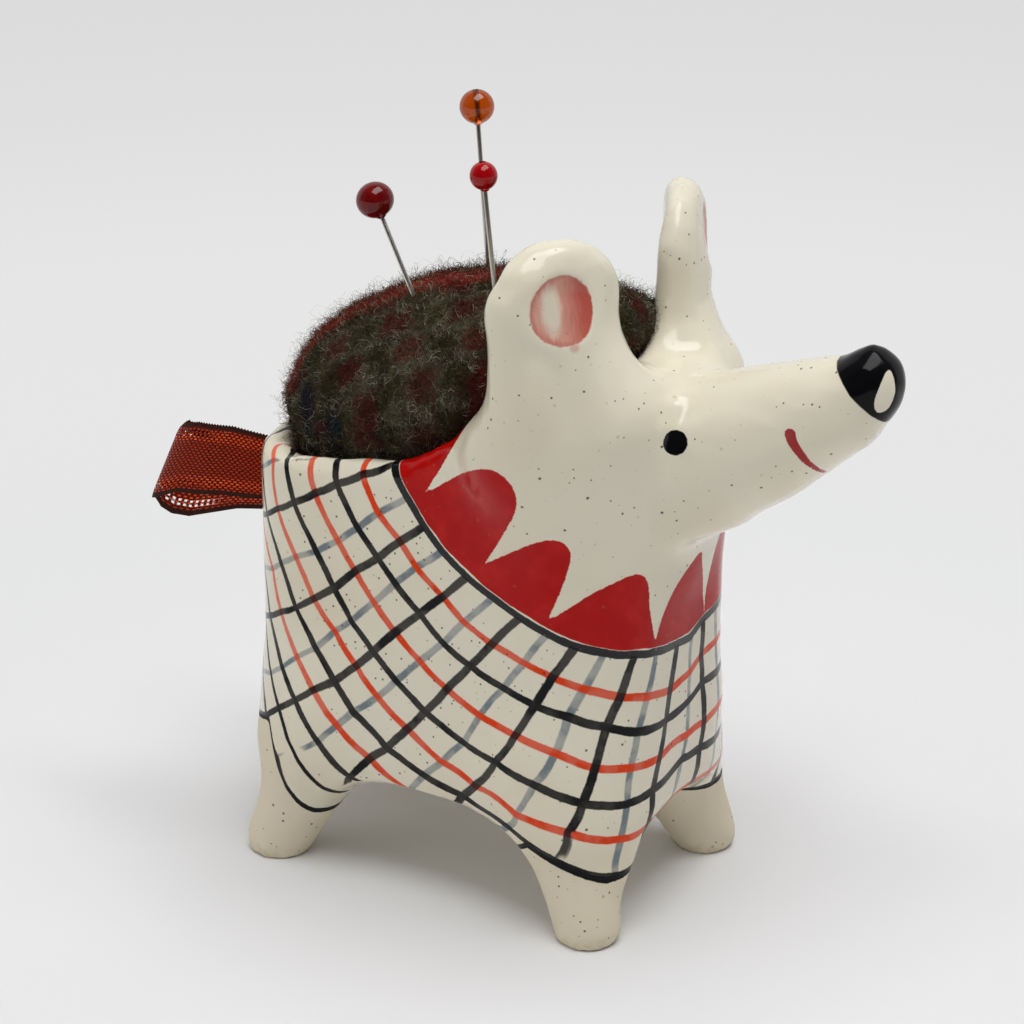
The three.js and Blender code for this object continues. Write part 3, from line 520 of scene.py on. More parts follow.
class Nodes:
    """A node tree, with short ways to add to it."""

    def __init__(self, tree):
        self.tree = tree

    def node(self, kind, settings, values, out=0):
        """Adds a node with its settings, then its values or links, and gives one of its outputs."""
        made = self.tree.nodes.new(kind)
        for name, value in settings.items():
            setattr(made, name, value)
        for name, value in values.items():
            if isinstance(value, Wire):
                self.tree.links.new(value.socket, made.inputs[name])
            else:
                made.inputs[name].default_value = value
        return Wire(self, made.outputs[out])

    def millimetres(self):
        place = self.node("ShaderNodeTexCoord", {}, {}, "Object")
        return self.node("ShaderNodeVectorMath", {"operation": "SCALE"}, {0: place, "Scale": 1000.0})

    def measure(self, operation, one, other):
        """A number from two vectors."""
        return self.node("ShaderNodeVectorMath", {"operation": operation}, {0: one, 1: other}, "Value")

    def rays(self, *kinds):
        """1 for light rays of these kinds, and 0 for others."""
        first, *others = [self.node("ShaderNodeLightPath", {}, {}, f"Is {kind} Ray") for kind in kinds]
        for other in others:
            first = first.most(other)
        return first

    def parts(self, vector):
        return [self.node("ShaderNodeSeparateXYZ", {}, {0: vector}, k) for k in range(3)]

    def guide(self, name):
        return self.node("ShaderNodeAttribute", {"attribute_name": name}, {}, "Fac")

    def cloud(self, place, size, detail=2.0, out=0):
        """Noise from 0 to 1 whose lumps are about this many units across."""
        values = {"Vector": place, "Scale": 1.0 / size, "Detail": detail}
        return self.node("ShaderNodeTexNoise", {}, values, out)

    def mix(self, share, under, over):
        """One colour over another, by a share from 0 to 1."""
        settings = {"data_type": "RGBA", "clamp_factor": True}
        return self.node("ShaderNodeMix", settings, {0: share, 6: under, 7: over}, 2)

    def bump(self, height, depth):
        """A relief this many metres deep."""
        values = {"Height": height, "Strength": 1.0, "Distance": depth}
        return self.node("ShaderNodeBump", {}, values)


class Finish(Nodes):
    """A material with one glossy or matt surface."""

    def __init__(self, name, **constants):
        self.material = bpy.data.materials.new(name)
        self.material.use_nodes = True
        super().__init__(self.material.node_tree)
        self.surface = self.tree.nodes["Principled BSDF"]
        for socket, value in constants.items():
            self.surface.inputs[socket.replace("_", " ")].default_value = value

    def wear(self, piece, **links):
        """Links what varies to the surface, and puts the finish on a piece."""
        for socket, wire in links.items():
            self.tree.links.new(wire.socket, self.surface.inputs[socket.replace("_", " ")])
        piece.data.materials.clear()
        piece.data.materials.append(self.material)


def shade(red, green, blue):
    """A colour from its everyday 0 to 255 values, as the shader wants it."""
    parts = (part / 255 for part in (red, green, blue))
    return (*(c / 12.92 if c <= 0.04045 else ((c + 0.055) / 1.055) ** 2.4 for c in parts), 1.0)


# The glaze: cream over speckled clay, with the brushwork under it. Strokes wander, swell and thin, the
# grey is a wash that lets the cream through, and the bare clay below the hem is matt.
CREAM = shade(234, 227, 206)
CREAM_WARM = shade(229, 219, 193)
BARE_CLAY = shade(228, 218, 193)
FOOT_TAN = shade(202, 178, 130)
SPECK = shade(66, 51, 35)
TAN_SPECK = shade(178, 150, 104)
BLACK = shade(13, 13, 16)
LINE_RED = shade(224, 62, 4)
WASH_GREY = shade(102, 116, 124)
COLLAR_RED = shade(178, 5, 3)
COLLAR_LIGHT = shade(192, 24, 20)
PINK_THIN = shade(214, 142, 126)
PINK_THICK = shade(188, 90, 78)
SMILE_RED = shade(160, 22, 26)
# Half widths of the strokes, and the places and sizes of the face, in mm. The check ends where its
# strokes would lie too far apart, and one of the red rounds is painted black.
RED_STROKE, BLACK_STROKE, LATE_STROKE = 0.5, 0.52, 0.4
GREY_CROSS_STROKE, BLACK_CROSS_STROKE = 0.47, 0.56
COLLAR_STROKE, COLLAR_STROKE_LIFT, HEM_STROKE = 0.58, 0.09, 0.5
COLLAR_GAP = 0.2
LATE_ROUND = 9
WIDEST_PITCH = (9.6, 8.2)
STROKES_THIN_TO, STROKES_WIDE_TO = (-8.0, -27.0), (14.0, 24.0)
EYE_PLACE, EYE_RADIUS = (32.0, 9.6, 69.6), 1.59
PINK_RADIUS = 4.35
PINK_WORN_PLACE, PINK_WORN_HALF = (-1.3, 0.2), (1.35, 2.9)
PINK_DRIP_PLACE = (1.0, -4.5)
NOSE_SLOPE, NOSE_EDGE, NOSE_BEHIND = (0.711, 0.703), 92.5, 44.0
NOSE_SPOT, NOSE_SPOT_HALF = (57.4, -2.6, 79.0), (1.28, 2.7)
NOSE_SPOT_ACROSS, NOSE_SPOT_UP = (0.5, 0.82, -0.27), (0.1, 0.22, 0.97)
GLAZE_RELIEF = 0.0001
# The specks: how far apart, how small, how large, all in mm, and how many of them show.
DARK_SPECKS = (1.22, 0.03, 0.2, 0.85)
TAN_SPECKS = (1.3, 0.05, 0.24, 0.55)

glaze = Finish("painted_glaze", Specular_IOR_Level=0.14, Coat_Roughness=0.07)
mm = glaze.millimetres()
x, y, z = glaze.parts(mm)
drift = glaze.cloud(mm, 9.0) - 0.5
waver = glaze.cloud(mm, 2.6) - 0.5
load = glaze.cloud(mm, 6.0, 3.0)
fray = glaze.cloud(mm, 0.5, 1.0) - 0.5
rounds = glaze.guide("round") + drift * 0.05 + waver * 0.05
crossing = glaze.guide("across") + drift * -0.05 + waver * 0.05
coat = glaze.guide("coat")
in_coat = coat.rise(0.0, 0.15) * rounds.rise(-0.08, -0.02)
rear = x.rise(*STROKES_THIN_TO)
fore = x.rise(*STROKES_WIDE_TO)


def stroke(reach, half_width, soft):
    """How much paint lies this far from the middle of a stroke, in mm."""
    wide = half_width * (0.7 + load * 0.6) * (1.0 - rear * 0.25 + fore * 0.15)
    return (reach + fray * 0.12).within(wide, soft)


def sprinkle(spacing, smallest, largest, share):
    """Dots from this small to this large in mm, strewn through the clay at this spacing."""
    values = {"Vector": mm, "Scale": 1.0 / spacing, "Randomness": 1.0}
    reach = glaze.node("ShaderNodeTexVoronoi", {}, values) * spacing + fray * 0.1
    chance, size, _ = glaze.parts(glaze.node("ShaderNodeTexVoronoi", {}, values, "Color"))
    radius = smallest + size * size * (largest - smallest)
    return reach.within(radius, 0.04) * (chance < share)


cream = glaze.mix(glaze.cloud(mm, 22.0).rise(0.35, 0.75), CREAM, CREAM_WARM)
hem = glaze.guide("hem")
cream = glaze.mix(hem.rise(0.3, -0.3), cream, BARE_CLAY)
foot = (z + waver * 3.0).rise(2.6, 0.0) * glaze.cloud(mm, 1.1, 3.0).rise(0.4, 0.7)
cream = glaze.mix(foot * 0.5, cream, FOOT_TAN)
round_pitch = glaze.guide("round_pitch")
cross_pitch = glaze.guide("across_pitch")
odd = rounds.off_middle(2.0) * round_pitch
even = (rounds + 1.0).off_middle(2.0) * round_pitch
odd_cross = crossing.off_middle(2.0) * cross_pitch
even_cross = (crossing + 1.0).off_middle(2.0) * cross_pitch
thin = glaze.cloud(mm, 4.0, 3.0).rise(0.62, 0.42)
late = (rounds > LATE_ROUND - 0.5) * (rounds < LATE_ROUND + 0.5)
steady = in_coat * round_pitch.rise(*WIDEST_PITCH)
steady_cross = in_coat * cross_pitch.rise(*WIDEST_PITCH)
red_rounds = stroke(odd, RED_STROKE, 0.1) * steady * (1.0 - late)
late_round = stroke(odd, LATE_STROKE, 0.08) * steady * late
black_rounds = stroke(even, BLACK_STROKE, 0.08) * steady * (rounds > 0.5)
collar_line = (abs(rounds + COLLAR_STROKE_LIFT) * round_pitch + fray * 0.12).within(COLLAR_STROKE, 0.06)
collar_line = collar_line * coat.rise(0.0, 0.15)
grey_cross = stroke(even_cross, GREY_CROSS_STROKE, 0.14) * steady_cross
black_cross = stroke(odd_cross, BLACK_CROSS_STROKE, 0.1) * steady_cross
hem_line = (abs(hem) + fray * 0.15).within(HEM_STROKE, 0.08)

paint = glaze.mix(grey_cross * (0.95 - thin * 0.35), cream, WASH_GREY)
paint = glaze.mix(red_rounds * (1.0 - rear * 0.15 - thin * 0.12), paint, LINE_RED)
blacks = (black_rounds * (1.0 - thin * 0.04)).most(black_cross * (1.0 - thin * 0.07))
blacks = blacks.most(late_round).most(hem_line)
brushed = glaze.mix(glaze.cloud(mm, 3.0, 4.0).rise(0.4, 0.75), COLLAR_RED, COLLAR_LIGHT)
seam = -COLLAR_GAP - load.rise(0.45, 0.6) * 0.035
petals = (glaze.guide("collar") + fray * 0.25).rise(-0.06, 0.06) * rounds.rise(seam, seam - 0.03)
paint = glaze.mix(petals, paint, brushed)
paint = glaze.mix(blacks.most(collar_line), paint, BLACK)

bare = hem.rise(0.4, -0.4)
clear = (1.0 - blacks) * (1.0 - petals * 0.6)
paint = glaze.mix(sprinkle(*DARK_SPECKS) * 0.85 * clear, paint, SPECK)
paint = glaze.mix(sprinkle(*TAN_SPECKS) * (0.3 + bare * 0.35) * clear, paint, TAN_SPECK)
folded_place = glaze.node("ShaderNodeVectorMath", {"operation": "ABSOLUTE"}, {0: mm})
eye = glaze.measure("DISTANCE", folded_place, EYE_PLACE)
paint = glaze.mix((eye + fray * 0.2).within(EYE_RADIUS, 0.07), paint, BLACK)
smile = (glaze.guide("smile") + fray * 0.15).rise(0.07, -0.05)
paint = glaze.mix(smile * (0.9 + load * 0.2), paint, SMILE_RED)
dish_across = glaze.guide("dish_across")
dish_up = glaze.guide("dish_up")
dish_reach = glaze.guide("dish_reach")
worn_across = (dish_across - PINK_WORN_PLACE[0]) / PINK_WORN_HALF[0]
worn_up = (dish_up - PINK_WORN_PLACE[1]) / PINK_WORN_HALF[1]
brush_way = glaze.node("ShaderNodeCombineXYZ", {}, {0: dish_across * 2.4, 1: dish_up * 0.5})
brush = glaze.cloud(brush_way, 1.0, 3.0) - 0.5
worn = (worn_across * worn_across + worn_up * worn_up + brush * 0.9 + waver * 1.2).rise(1.7, 0.2)
drip_across = dish_across - PINK_DRIP_PLACE[0]
drip_up = dish_up - PINK_DRIP_PLACE[1]
drip = (drip_across * drip_across + drip_up * drip_up).root().rise(0.9, 0.3) * dish_reach.rise(7.0, 6.0)
thick = (dish_across + brush * 1.8).rise(-1.0, 3.4).most((dish_reach + brush * 1.5).rise(3.2, 4.3) * 0.6)
pink = (dish_reach + fray * 0.4).within(PINK_RADIUS, 0.15) * (0.8 + thick * 0.2 - worn * 0.72)
paint = glaze.mix(pink.most(drip * 0.45), paint, glaze.mix(thick, PINK_THIN, PINK_THICK))

nose = x * NOSE_SLOPE[0] + z * NOSE_SLOPE[1] + waver * 0.3 - abs(y) * 0.2
nose = nose.rise(NOSE_EDGE - 0.1, NOSE_EDGE + 0.1)
tip = glaze.node("ShaderNodeVectorMath", {"operation": "SUBTRACT"}, {0: mm, 1: NOSE_SPOT})
tall = glaze.measure("DOT_PRODUCT", tip, NOSE_SPOT_UP)
wide = glaze.measure("DOT_PRODUCT", tip, NOSE_SPOT_ACROSS) / (NOSE_SPOT_HALF[0] - tall * 0.12)
tall = tall / NOSE_SPOT_HALF[1]
spot = wide * wide + tall * tall
nose = nose * (spot + fray * 0.15).rise(0.9, 1.05) * (x > NOSE_BEHIND)
paint = glaze.mix(nose, paint, BLACK)

rough = 0.12 + bare * 0.5 + (load - 0.5) * 0.05
relief = glaze.cloud(mm, 5.0, 3.0) * 0.7 + glaze.cloud(mm, 0.35, 2.0) * 0.05 * (1.0 + bare * 4.0)
gloss = (1.0 - blacks.most(petals).most(nose).most(red_rounds)) * (1.0 - bare) * 0.4
glaze.wear(
    glazed_body,
    Base_Color=paint,
    Roughness=rough,
    Coat_Weight=gloss,
    Normal=glaze.bump(relief, GLAZE_RELIEF),
)
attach(glazed_body, "body")
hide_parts("ceramic_body")


# Glue. Two dabs of clear craft glue, one under the cushion and one on the ends of the tail, both inside
# the well. Set glue is milky and smooth with a slight ripple.
GLUE_PALE, GLUE_DEEP = shade(226, 218, 196), shade(205, 192, 160)
GLUE_RIPPLE = 0.0002
clear_glue = Finish("clear_glue", Roughness=0.3, Specular_IOR_Level=0.4)
mm = clear_glue.millimetres()
cloudy = clear_glue.mix(clear_glue.cloud(mm, 2.0, 3.0), GLUE_PALE, GLUE_DEEP)
ripple = clear_glue.bump(clear_glue.cloud(mm, 1.5), GLUE_RIPPLE)
for dab in ("cushion_glue", "ribbon_glue"):
    clear_glue.wear(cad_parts[dab], Base_Color=cloudy, Normal=ripple)


# Cushion. A round of checked woollen cloth, fulled until it felted, drawn up over a ball of stuffing by
# a thread round its edge and pressed into the well. It is packed hard, so that it swells over the rim.
CLOTH_GRAIN = 0.0011
CLOTH_SPONGE_PASSES = 12
CLOTH_LUMP, CLOTH_LUMP_SPREAD, CLOTH_LUMP_LEVEL = 0.00035, 0.012, 0.55
PACK_SLACK = 0.0004
PACK_PRESSURE = 6.0
PACK_MASS = 0.0004
PACK_FRAMES = 20
PACK_CAP = 0.0009
PACK_HELD_BELOW, PACK_HELD_FADE = 0.058, 0.006
DOME_PRESS = [(-26, 0.0), (-18, 1.3), (-6, 1.3), (2, 1.0), (16, 1.1)]
DOME_FROM = (68, 82)
BULGE_PLACE = np.array([15.0, 6.0, 78.0])
BULGE_PUSH = np.array([3.0, 1.0, 0.4])
BULGE_REACH = 11.0
CLOTH_TURN = math.radians(8.3)
CLOTH_PALE = shade(94, 89, 70)
CLOTH_DARK = shade(54, 51, 38)
CLOTH_OLIVE = shade(54, 50, 21)
CLOTH_MAROON = shade(84, 18, 16)
CLOTH_BLUE = shade(20, 38, 50)
CLOTH_STRIPE = shade(152, 50, 40)
CLOTH_SHADOW = shade(16, 13, 10)
CLOTH_LINT = shade(130, 126, 110)
CLOTH_BLUES = [(-25.5, -13.5, 0.0), (-18.5, -18.5, 0.0), (10.0, 14.0, 0.0)]
CLOTH_MIDDLE = np.array([-4.0, 0.0])
CLOTH_HALF = np.array([27.5, 17.2])
CLOTH_SQUARENESS = 2.2
CLOTH_EDGE_HEIGHT, CLOTH_EDGE_STRETCH = 62, 30
CHECK_START, CHECK_ROW, CHECK_STEP, CHECK_REPEAT = (-17.9, -6.8), 4.4, 3.4, 10.6
STRIPE_START, STRIPE_REPEAT = 19.0, 34.0
STRIPE_REAR, STRIPE_REAR_BEND = (-22.0, -33.0), 4.5
STRIPE_FRONT, STRIPE_FRONT_BEND = (2.0, 25.0), 12.0
FELT_DEPTH = 0.0004

cushion = copy_of("cushion_cover", "wool_cushion")
cover = bmesh.new()
cover.from_mesh(cushion.data)
cover.normal_update()
walls = BVHTree.FromBMesh(cover)
lining = [
    face for face in cover.faces
    if walls.ray_cast(face.calc_center_median() + face.normal * 1e-5, face.normal, 0.08)[0]
]
bmesh.ops.delete(cover, geom=lining, context="FACES")
bmesh.ops.holes_fill(cover, edges=[edge for edge in cover.edges if edge.is_boundary])
bmesh.ops.recalc_face_normals(cover, faces=cover.faces)
cover.to_mesh(cushion.data)
cover.free()
grain(cushion, CLOTH_GRAIN)
set_places(cushion.data, sponge(cushion.data, CLOTH_SPONGE_PASSES))
# The cover starts slack and swells under the stuffing, as far as the cap lets it. The well holds its
# lower part.
slack = places_of(cushion.data)
free = smooth(slack[:, 2], PACK_HELD_BELOW, PACK_HELD_BELOW + PACK_HELD_FADE)
slack -= normals_of(cushion.data) * (free * PACK_SLACK)[:, None]
set_places(cushion.data, slack)
held = cushion.vertex_groups.new(name="held_in_the_well")
for index in np.flatnonzero(free < 1):
    held.add([int(index)], 1 - free[index], "REPLACE")
packed = cushion.modifiers.new("packed", "CLOTH")
packed.settings.use_pressure = True
packed.settings.uniform_pressure_force = PACK_PRESSURE
packed.settings.mass = PACK_MASS
packed.settings.vertex_group_mass = held.name
packed.settings.effector_weights.gravity = 0
packed.collision_settings.use_collision = False
packed.point_cache.frame_end = PACK_FRAMES
for moment in range(1, PACK_FRAMES + 1):
    bpy.context.scene.frame_set(moment)
settle(cushion)
bpy.context.scene.frame_set(1)
swelled = places_of(cushion.data) - slack
far = np.linalg.norm(swelled, axis=1)[:, None]
slack += swelled * np.minimum(1, PACK_CAP / np.maximum(far, 1e-9))
set_places(cushion.data, slack)
cushion.vertex_groups.clear()
soften = cushion.modifiers.new("soften", "SUBSURF")
soften.levels = soften.render_levels = 1
settle(cushion)
lumps = bpy.data.textures.new("stuffing_lumps", "CLOUDS")
lumps.noise_scale = CLOTH_LUMP_SPREAD
swell = cushion.modifiers.new("swell", "DISPLACE")
swell.texture = lumps
swell.texture_coords = "LOCAL"
swell.strength = 2 * CLOTH_LUMP
swell.mid_level = CLOTH_LUMP_LEVEL
settle(cushion)
wool = places_of(cushion.data) * 1000
wool[:, 2] -= read(DOME_PRESS, wool[:, 0]) * smooth(wool[:, 2], *DOME_FROM)
wool += smooth(np.linalg.norm(wool - BULGE_PLACE, axis=1), BULGE_REACH, 0)[:, None] * BULGE_PUSH
set_places(cushion.data, wool / 1000)
cushion.data.update()


def on_cloth(place_mm):
    """Where points of the dome lay on the flat cloth: along its red stripe and across it."""
    off = place_mm[:, :2] - CLOTH_MIDDLE
    reach = ((abs(off) / CLOTH_HALF) ** CLOTH_SQUARENESS).sum(axis=1) ** (1 / CLOTH_SQUARENESS)
    reach = np.clip(reach, 1e-3, 0.999)
    off *= (np.arcsin(reach) / reach)[:, None]
    below = CLOTH_EDGE_HEIGHT - place_mm[:, 2]
    off *= np.where(below > 0, 1 + below / CLOTH_EDGE_STRETCH, 1)[:, None]
    cos, sin = math.cos(CLOTH_TURN), math.sin(CLOTH_TURN)
    return off @ np.array([[cos, -sin], [sin, cos]])


along, across = on_cloth(places_of(cushion.data) * 1000).T
guide(cushion.data, "along", along)
guide(cushion.data, "over", across)


def wool_check(finish):
    """The colours of the cloth: grey-green and olive with rows of maroon blocks, a red stripe, blue.

    Gives the colour and how much of it is a block.
    """
    warp = finish.guide("along")
    weft = finish.guide("over")
    spot = finish.node("ShaderNodeCombineXYZ", {}, {0: warp, 1: weft})
    stray = finish.cloud(spot, 1.5, 3.0) - 0.5
    other_stray = finish.cloud(spot, 1.9, 3.0, 1)
    slow = finish.cloud(spot, 7.0, 2.0)
    ground = finish.mix(slow.rise(0.35, 0.65), CLOTH_PALE, CLOTH_DARK)
    row = (CHECK_START[1] - weft + other_stray * 3.2 - 1.6) / CHECK_ROW
    in_row = row.off_middle()
    phase = (warp - CHECK_START[0] - row.floor() * CHECK_STEP + stray * 5.0) / CHECK_REPEAT
    block = ((phase + 0.5).off_middle() * CHECK_REPEAT).rise(3.1, 1.7) * in_row.rise(0.42, 0.24)
    olive = (phase.off_middle() * CHECK_REPEAT).rise(2.7, 1.4) * in_row.rise(0.44, 0.22)
    ground = finish.mix(olive * 0.75, ground, CLOTH_OLIVE)
    ground = finish.mix(block * (0.45 + slow * 0.6), ground, CLOTH_MAROON)
    for place in CLOTH_BLUES:
        away = finish.measure("DISTANCE", spot, place)
        ground = finish.mix((away + stray * 3.0).rise(3.0, 1.6) * 0.85, ground, CLOTH_BLUE)
    bend = warp.rise(*STRIPE_REAR) * STRIPE_REAR_BEND - warp.rise(*STRIPE_FRONT) * STRIPE_FRONT_BEND
    stripe = (weft + bend + stray * 2.4 + STRIPE_START).off_middle(STRIPE_REPEAT).rise(3.0, 0.9)
    return finish.mix(stripe * 0.85, ground, CLOTH_STRIPE), block.most(olive * 0.7)


fulled = Finish("fulled_wool", Roughness=0.95, Specular_IOR_Level=0.05)
mm = fulled.millimetres()
felt = fulled.cloud(mm, 0.5, 4.0)
colour, _ = wool_check(fulled)
colour = fulled.mix(felt.rise(0.35, 0.7) * 0.6, colour, CLOTH_SHADOW)
colour = fulled.mix(fulled.cloud(mm, 0.22, 2.0).rise(0.62, 0.8) * 0.2, colour, CLOTH_LINT)
fulled.wear(cushion, Base_Color=colour, Normal=fulled.bump(felt, FELT_DEPTH))
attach(cushion, "body")
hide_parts("cushion_cover", "cushion_filling")


# Nap of the cushion. Fulling raises a mat of loose curled fibres all over the cloth, most of them flat
# against it and some standing out in loops. Each fibre is one narrow strip.
NAP_STEPS = 8
NAP_SEED = 27
NAP_RIM, NAP_RIM_CLIMB, NAP_RIM_FROM, NAP_BELOW_RIM = 59, 15, (-2, 18), 0.6
NAP_ROOT_DEPTH = 0.1
NAP_LOWEST, NAP_LIFT, NAP_PRESS, NAP_SHAKE = 0.05, 0.6, -0.7, 0.16
FIBRE_PALE = shade(170, 163, 142)
FIBRE_DARK = shade(24, 20, 16)
# The darkest colour is painted shade at the fibres' roots, where they sink into the mat.
FIBRE_ROOT_SHADE = shade(14, 12, 9)
# Each layer's name, number of fibres, their length, width and height off the cloth in mm, and their curl.
NAP_LAYERS = [("nap_mat", 12000, 3.4, 0.08, 0.6, 0.75), ("nap_curls", 7000, 5.2, 0.045, 2.3, 0.85)]


def extend(shell, edges):
    """Extrudes open edges, and gives the new edges and the new points."""
    made = bmesh.ops.extrude_edge_only(shell, edges=edges)["geom"]
    kinds = (bmesh.types.BMEdge, bmesh.types.BMVert)
    return [[part for part in made if isinstance(part, kind)] for kind in kinds]


def piece_from(shell, name):
    """A smooth object made of a bmesh."""
    piece = bpy.data.objects.new(name, bpy.data.meshes.new(name))
    shell.to_mesh(piece.data)
    shell.free()
    piece.data.polygons.foreach_set("use_smooth", [True] * len(piece.data.polygons))
    bpy.context.scene.collection.objects.link(piece)
    return piece


def nap(name, count, length, width, stand, curl, seed):
    """A mat of fibres on the cushion, each this long and wide in mm, standing off by up to stand."""
    rng = np.random.default_rng(seed)
    mesh = cushion.data
    mesh.calc_loop_triangles()
    corners = np.empty(len(mesh.loop_triangles) * 3, np.int64)
    mesh.loop_triangles.foreach_get("vertices", corners)
    corners = places_of(mesh)[corners].reshape(-1, 3, 3) * 1000
    middle = corners.mean(axis=1)
    rim = NAP_RIM + ramp(middle[:, 0], *NAP_RIM_FROM) ** 2 * NAP_RIM_CLIMB - NAP_BELOW_RIM
    area = np.linalg.norm(np.cross(corners[:, 1] - corners[:, 0], corners[:, 2] - corners[:, 0]), axis=1)
    area *= middle[:, 2] > rim
    chosen = corners[rng.choice(len(area), count, p=area / area.sum())]
    share = rng.dirichlet((1, 1, 1), count)
    root = (chosen * share[:, :, None]).sum(axis=1)
    surface = BVHTree.FromObject(cushion, bpy.context.evaluated_depsgraph_get())

    def ground(points):
        found = [surface.find_nearest(Vector(point) / 1000) for point in points]
        return np.array([hit[0] for hit in found]) * 1000, np.array([hit[1] for hit in found])

    out = ground(root)[1]
    heading = out * rng.uniform(0.1, 0.9, (count, 1)) + rng.normal(0, 1, (count, 3)) * 0.6
    heading /= np.linalg.norm(heading, axis=1)[:, None]
    axis = rng.normal(0, 1, (count, 3)) + out * rng.normal(0, 1.2, (count, 1))
    axis /= np.linalg.norm(axis, axis=1)[:, None]
    bend = rng.uniform(0.4, 1.0, (count, 1)) * curl
    most = stand * rng.uniform(0.15, 1, (count, 1)) ** 2
    step = length * rng.uniform(0.6, 1.3, (count, 1)) / NAP_STEPS
    tip = root - out * NAP_ROOT_DEPTH
    edges_of_strip = []
    for k in range(NAP_STEPS + 1):
        below, out = ground(tip)
        height = ((tip - below) * out).sum(axis=1)[:, None]
        edge_way = np.cross(heading, out + rng.normal(0, 0.5, (count, 3)))
        edge_way /= np.linalg.norm(edge_way, axis=1)[:, None] + 1e-9
        slim = width * (1 - 0.5 * k / NAP_STEPS)
        edges_of_strip.append(np.stack([tip - edge_way * slim / 2, tip + edge_way * slim / 2], axis=1))
        turned = heading * np.cos(bend) + np.cross(axis, heading) * np.sin(bend)
        turned += out * np.where(height > most, NAP_PRESS, np.where(height < NAP_LOWEST, NAP_LIFT, 0.0))
        turned += rng.normal(0, NAP_SHAKE, (count, 3))
        heading = turned / np.linalg.norm(turned, axis=1)[:, None]
        tip = tip + heading * step
    strips = bmesh.new()
    order = strips.verts.layers.int.new("order")
    for k in range(count):
        ends = [strips.verts.new((0, 0, 0)), strips.verts.new((0, 0, 0))]
        ends[0][order], ends[1][order] = 2 * k, 2 * k + 1
        strips.edges.new(ends)
    grown = strips.edges[:]
    for _ in range(NAP_STEPS):
        grown = extend(strips, grown)[0]
    piece = piece_from(strips, name)
    total = len(piece.data.vertices)
    which = np.empty(total, np.int32)
    piece.data.attributes["order"].data.foreach_get("value", which)
    level = np.arange(total) // (2 * count)
    set_places(piece.data, np.stack(edges_of_strip)[level, which // 2, which % 2] / 1000)
    piece.data.update()
    laid = on_cloth(root)[which // 2]
    guide(piece.data, "along", laid[:, 0])
    guide(piece.data, "over", laid[:, 1])
    guide(piece.data, "tint", rng.uniform(0, 1, count)[which // 2])
    guide(piece.data, "tip", level / NAP_STEPS)
    return piece


wool_fibre = Finish("wool_fibre", Roughness=0.85, Specular_IOR_Level=0.08)
tint = wool_fibre.guide("tint")
clump = wool_fibre.cloud(wool_fibre.millimetres(), 1.7, 2.0) - 0.5
fibre, blocks = wool_check(wool_fibre)
fibre = wool_fibre.mix((tint + clump * 1.7 - blocks * 0.4).rise(0.5, 0.95) * 0.76, fibre, FIBRE_PALE)
fibre = wool_fibre.mix((tint + clump * 0.6).rise(0.4, 0.0) * 0.7, fibre, FIBRE_DARK)
# Painted shade: each fibre darkens towards its root, where it leaves the cloth among the others.
fibre = wool_fibre.mix(wool_fibre.guide("tip").rise(0.4, 0.0) * 0.7, fibre, FIBRE_ROOT_SHADE)
for seed, layer in enumerate(NAP_LAYERS, NAP_SEED):
    fibres = nap(*layer, seed)
    wool_fibre.wear(fibres, Base_Color=fibre)
    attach(fibres, "body")


# Gathering thread. A doubled cotton thread that runs round the edge of the cloth underneath and is
# pulled tight and knotted.
THREAD_DARK, THREAD_LIGHT = shade(38, 35, 32), shade(72, 67, 61)
THREAD_DEPTH = 0.0001
cotton = Finish("cotton_thread", Roughness=0.8, Specular_IOR_Level=0.2)
mm = cotton.millimetres()
twist = cotton.node(
    "ShaderNodeTexWave", {"bands_direction": "DIAGONAL"}, {"Vector": mm, "Scale": 1.6, "Distortion": 0.6},
)
cotton_colour = cotton.mix(twist, THREAD_DARK, THREAD_LIGHT)
cotton_twist = cotton.bump(twist, THREAD_DEPTH)
cotton.wear(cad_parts["gathering_thread"], Base_Color=cotton_colour, Normal=cotton_twist)


# Tail. A length of sheer metallic ribbon with picot edges, doubled over into a loop. Its two ends are
# pushed through the slot in the rump, spread on the inner wall and glued there.
RIBBON_HINGE = -31.947
RIBBON_REACH = 23.0
RIBBON_WIDTH = 13.8
RIBBON_SLANT = math.tan(math.radians(25))
RIBBON_THICKNESS = 0.16
RIBBON_PLEAT, RIBBON_PLEAT_END, RIBBON_BILLOW = 0.22, 4.5, 0.25
FOLD_CORNER_REACH, FOLD_CORNER_TOP, FOLD_CORNER_FOOT = 1.8, 0.9, 0.2
PICOT_PITCH, PICOT_DEPTH = 0.56, 0.11
RIBBON_LINE = [
    (6.6, -3.9), (6.5, -2.6), (6.2, -1.2), (5.2, -0.45), (2.5, -0.4), (0.0, -0.42), (-3.0, -0.8),
    (-6.0, -1.25), (-10.0, -1.75), (-15.0, -2.1), (-19.0, -1.85), (-21.6, -1.2), (-22.8, -0.45),
    (-23.0, 0.0),
]
RIBBON_ROWS = [0.0, 0.35, 1.2, 2.4, 3.8, 5.3, 6.9, 8.5, 10.0, 11.4, 12.6, 13.45, 13.8]
# How the loop twists: along it, from one end over the fold at 1 to the other, its top and its width.
RIBBON_LAY = [
    (0.0, 53.0, 9.6), (0.2, 53.7, 9.5), (0.5, 54.3, 10.7), (0.8, 53.8, 11.4), (1.0, 52.7, 12.9),
    (1.04, 51.9, 13.8), (1.1, 51.2, 14.0), (1.2, 50.8, 13.6), (1.35, 50.7, 12.0), (1.5, 50.9, 10.7),
    (1.8, 51.5, 9.5), (2.0, 52.4, 9.1),
]
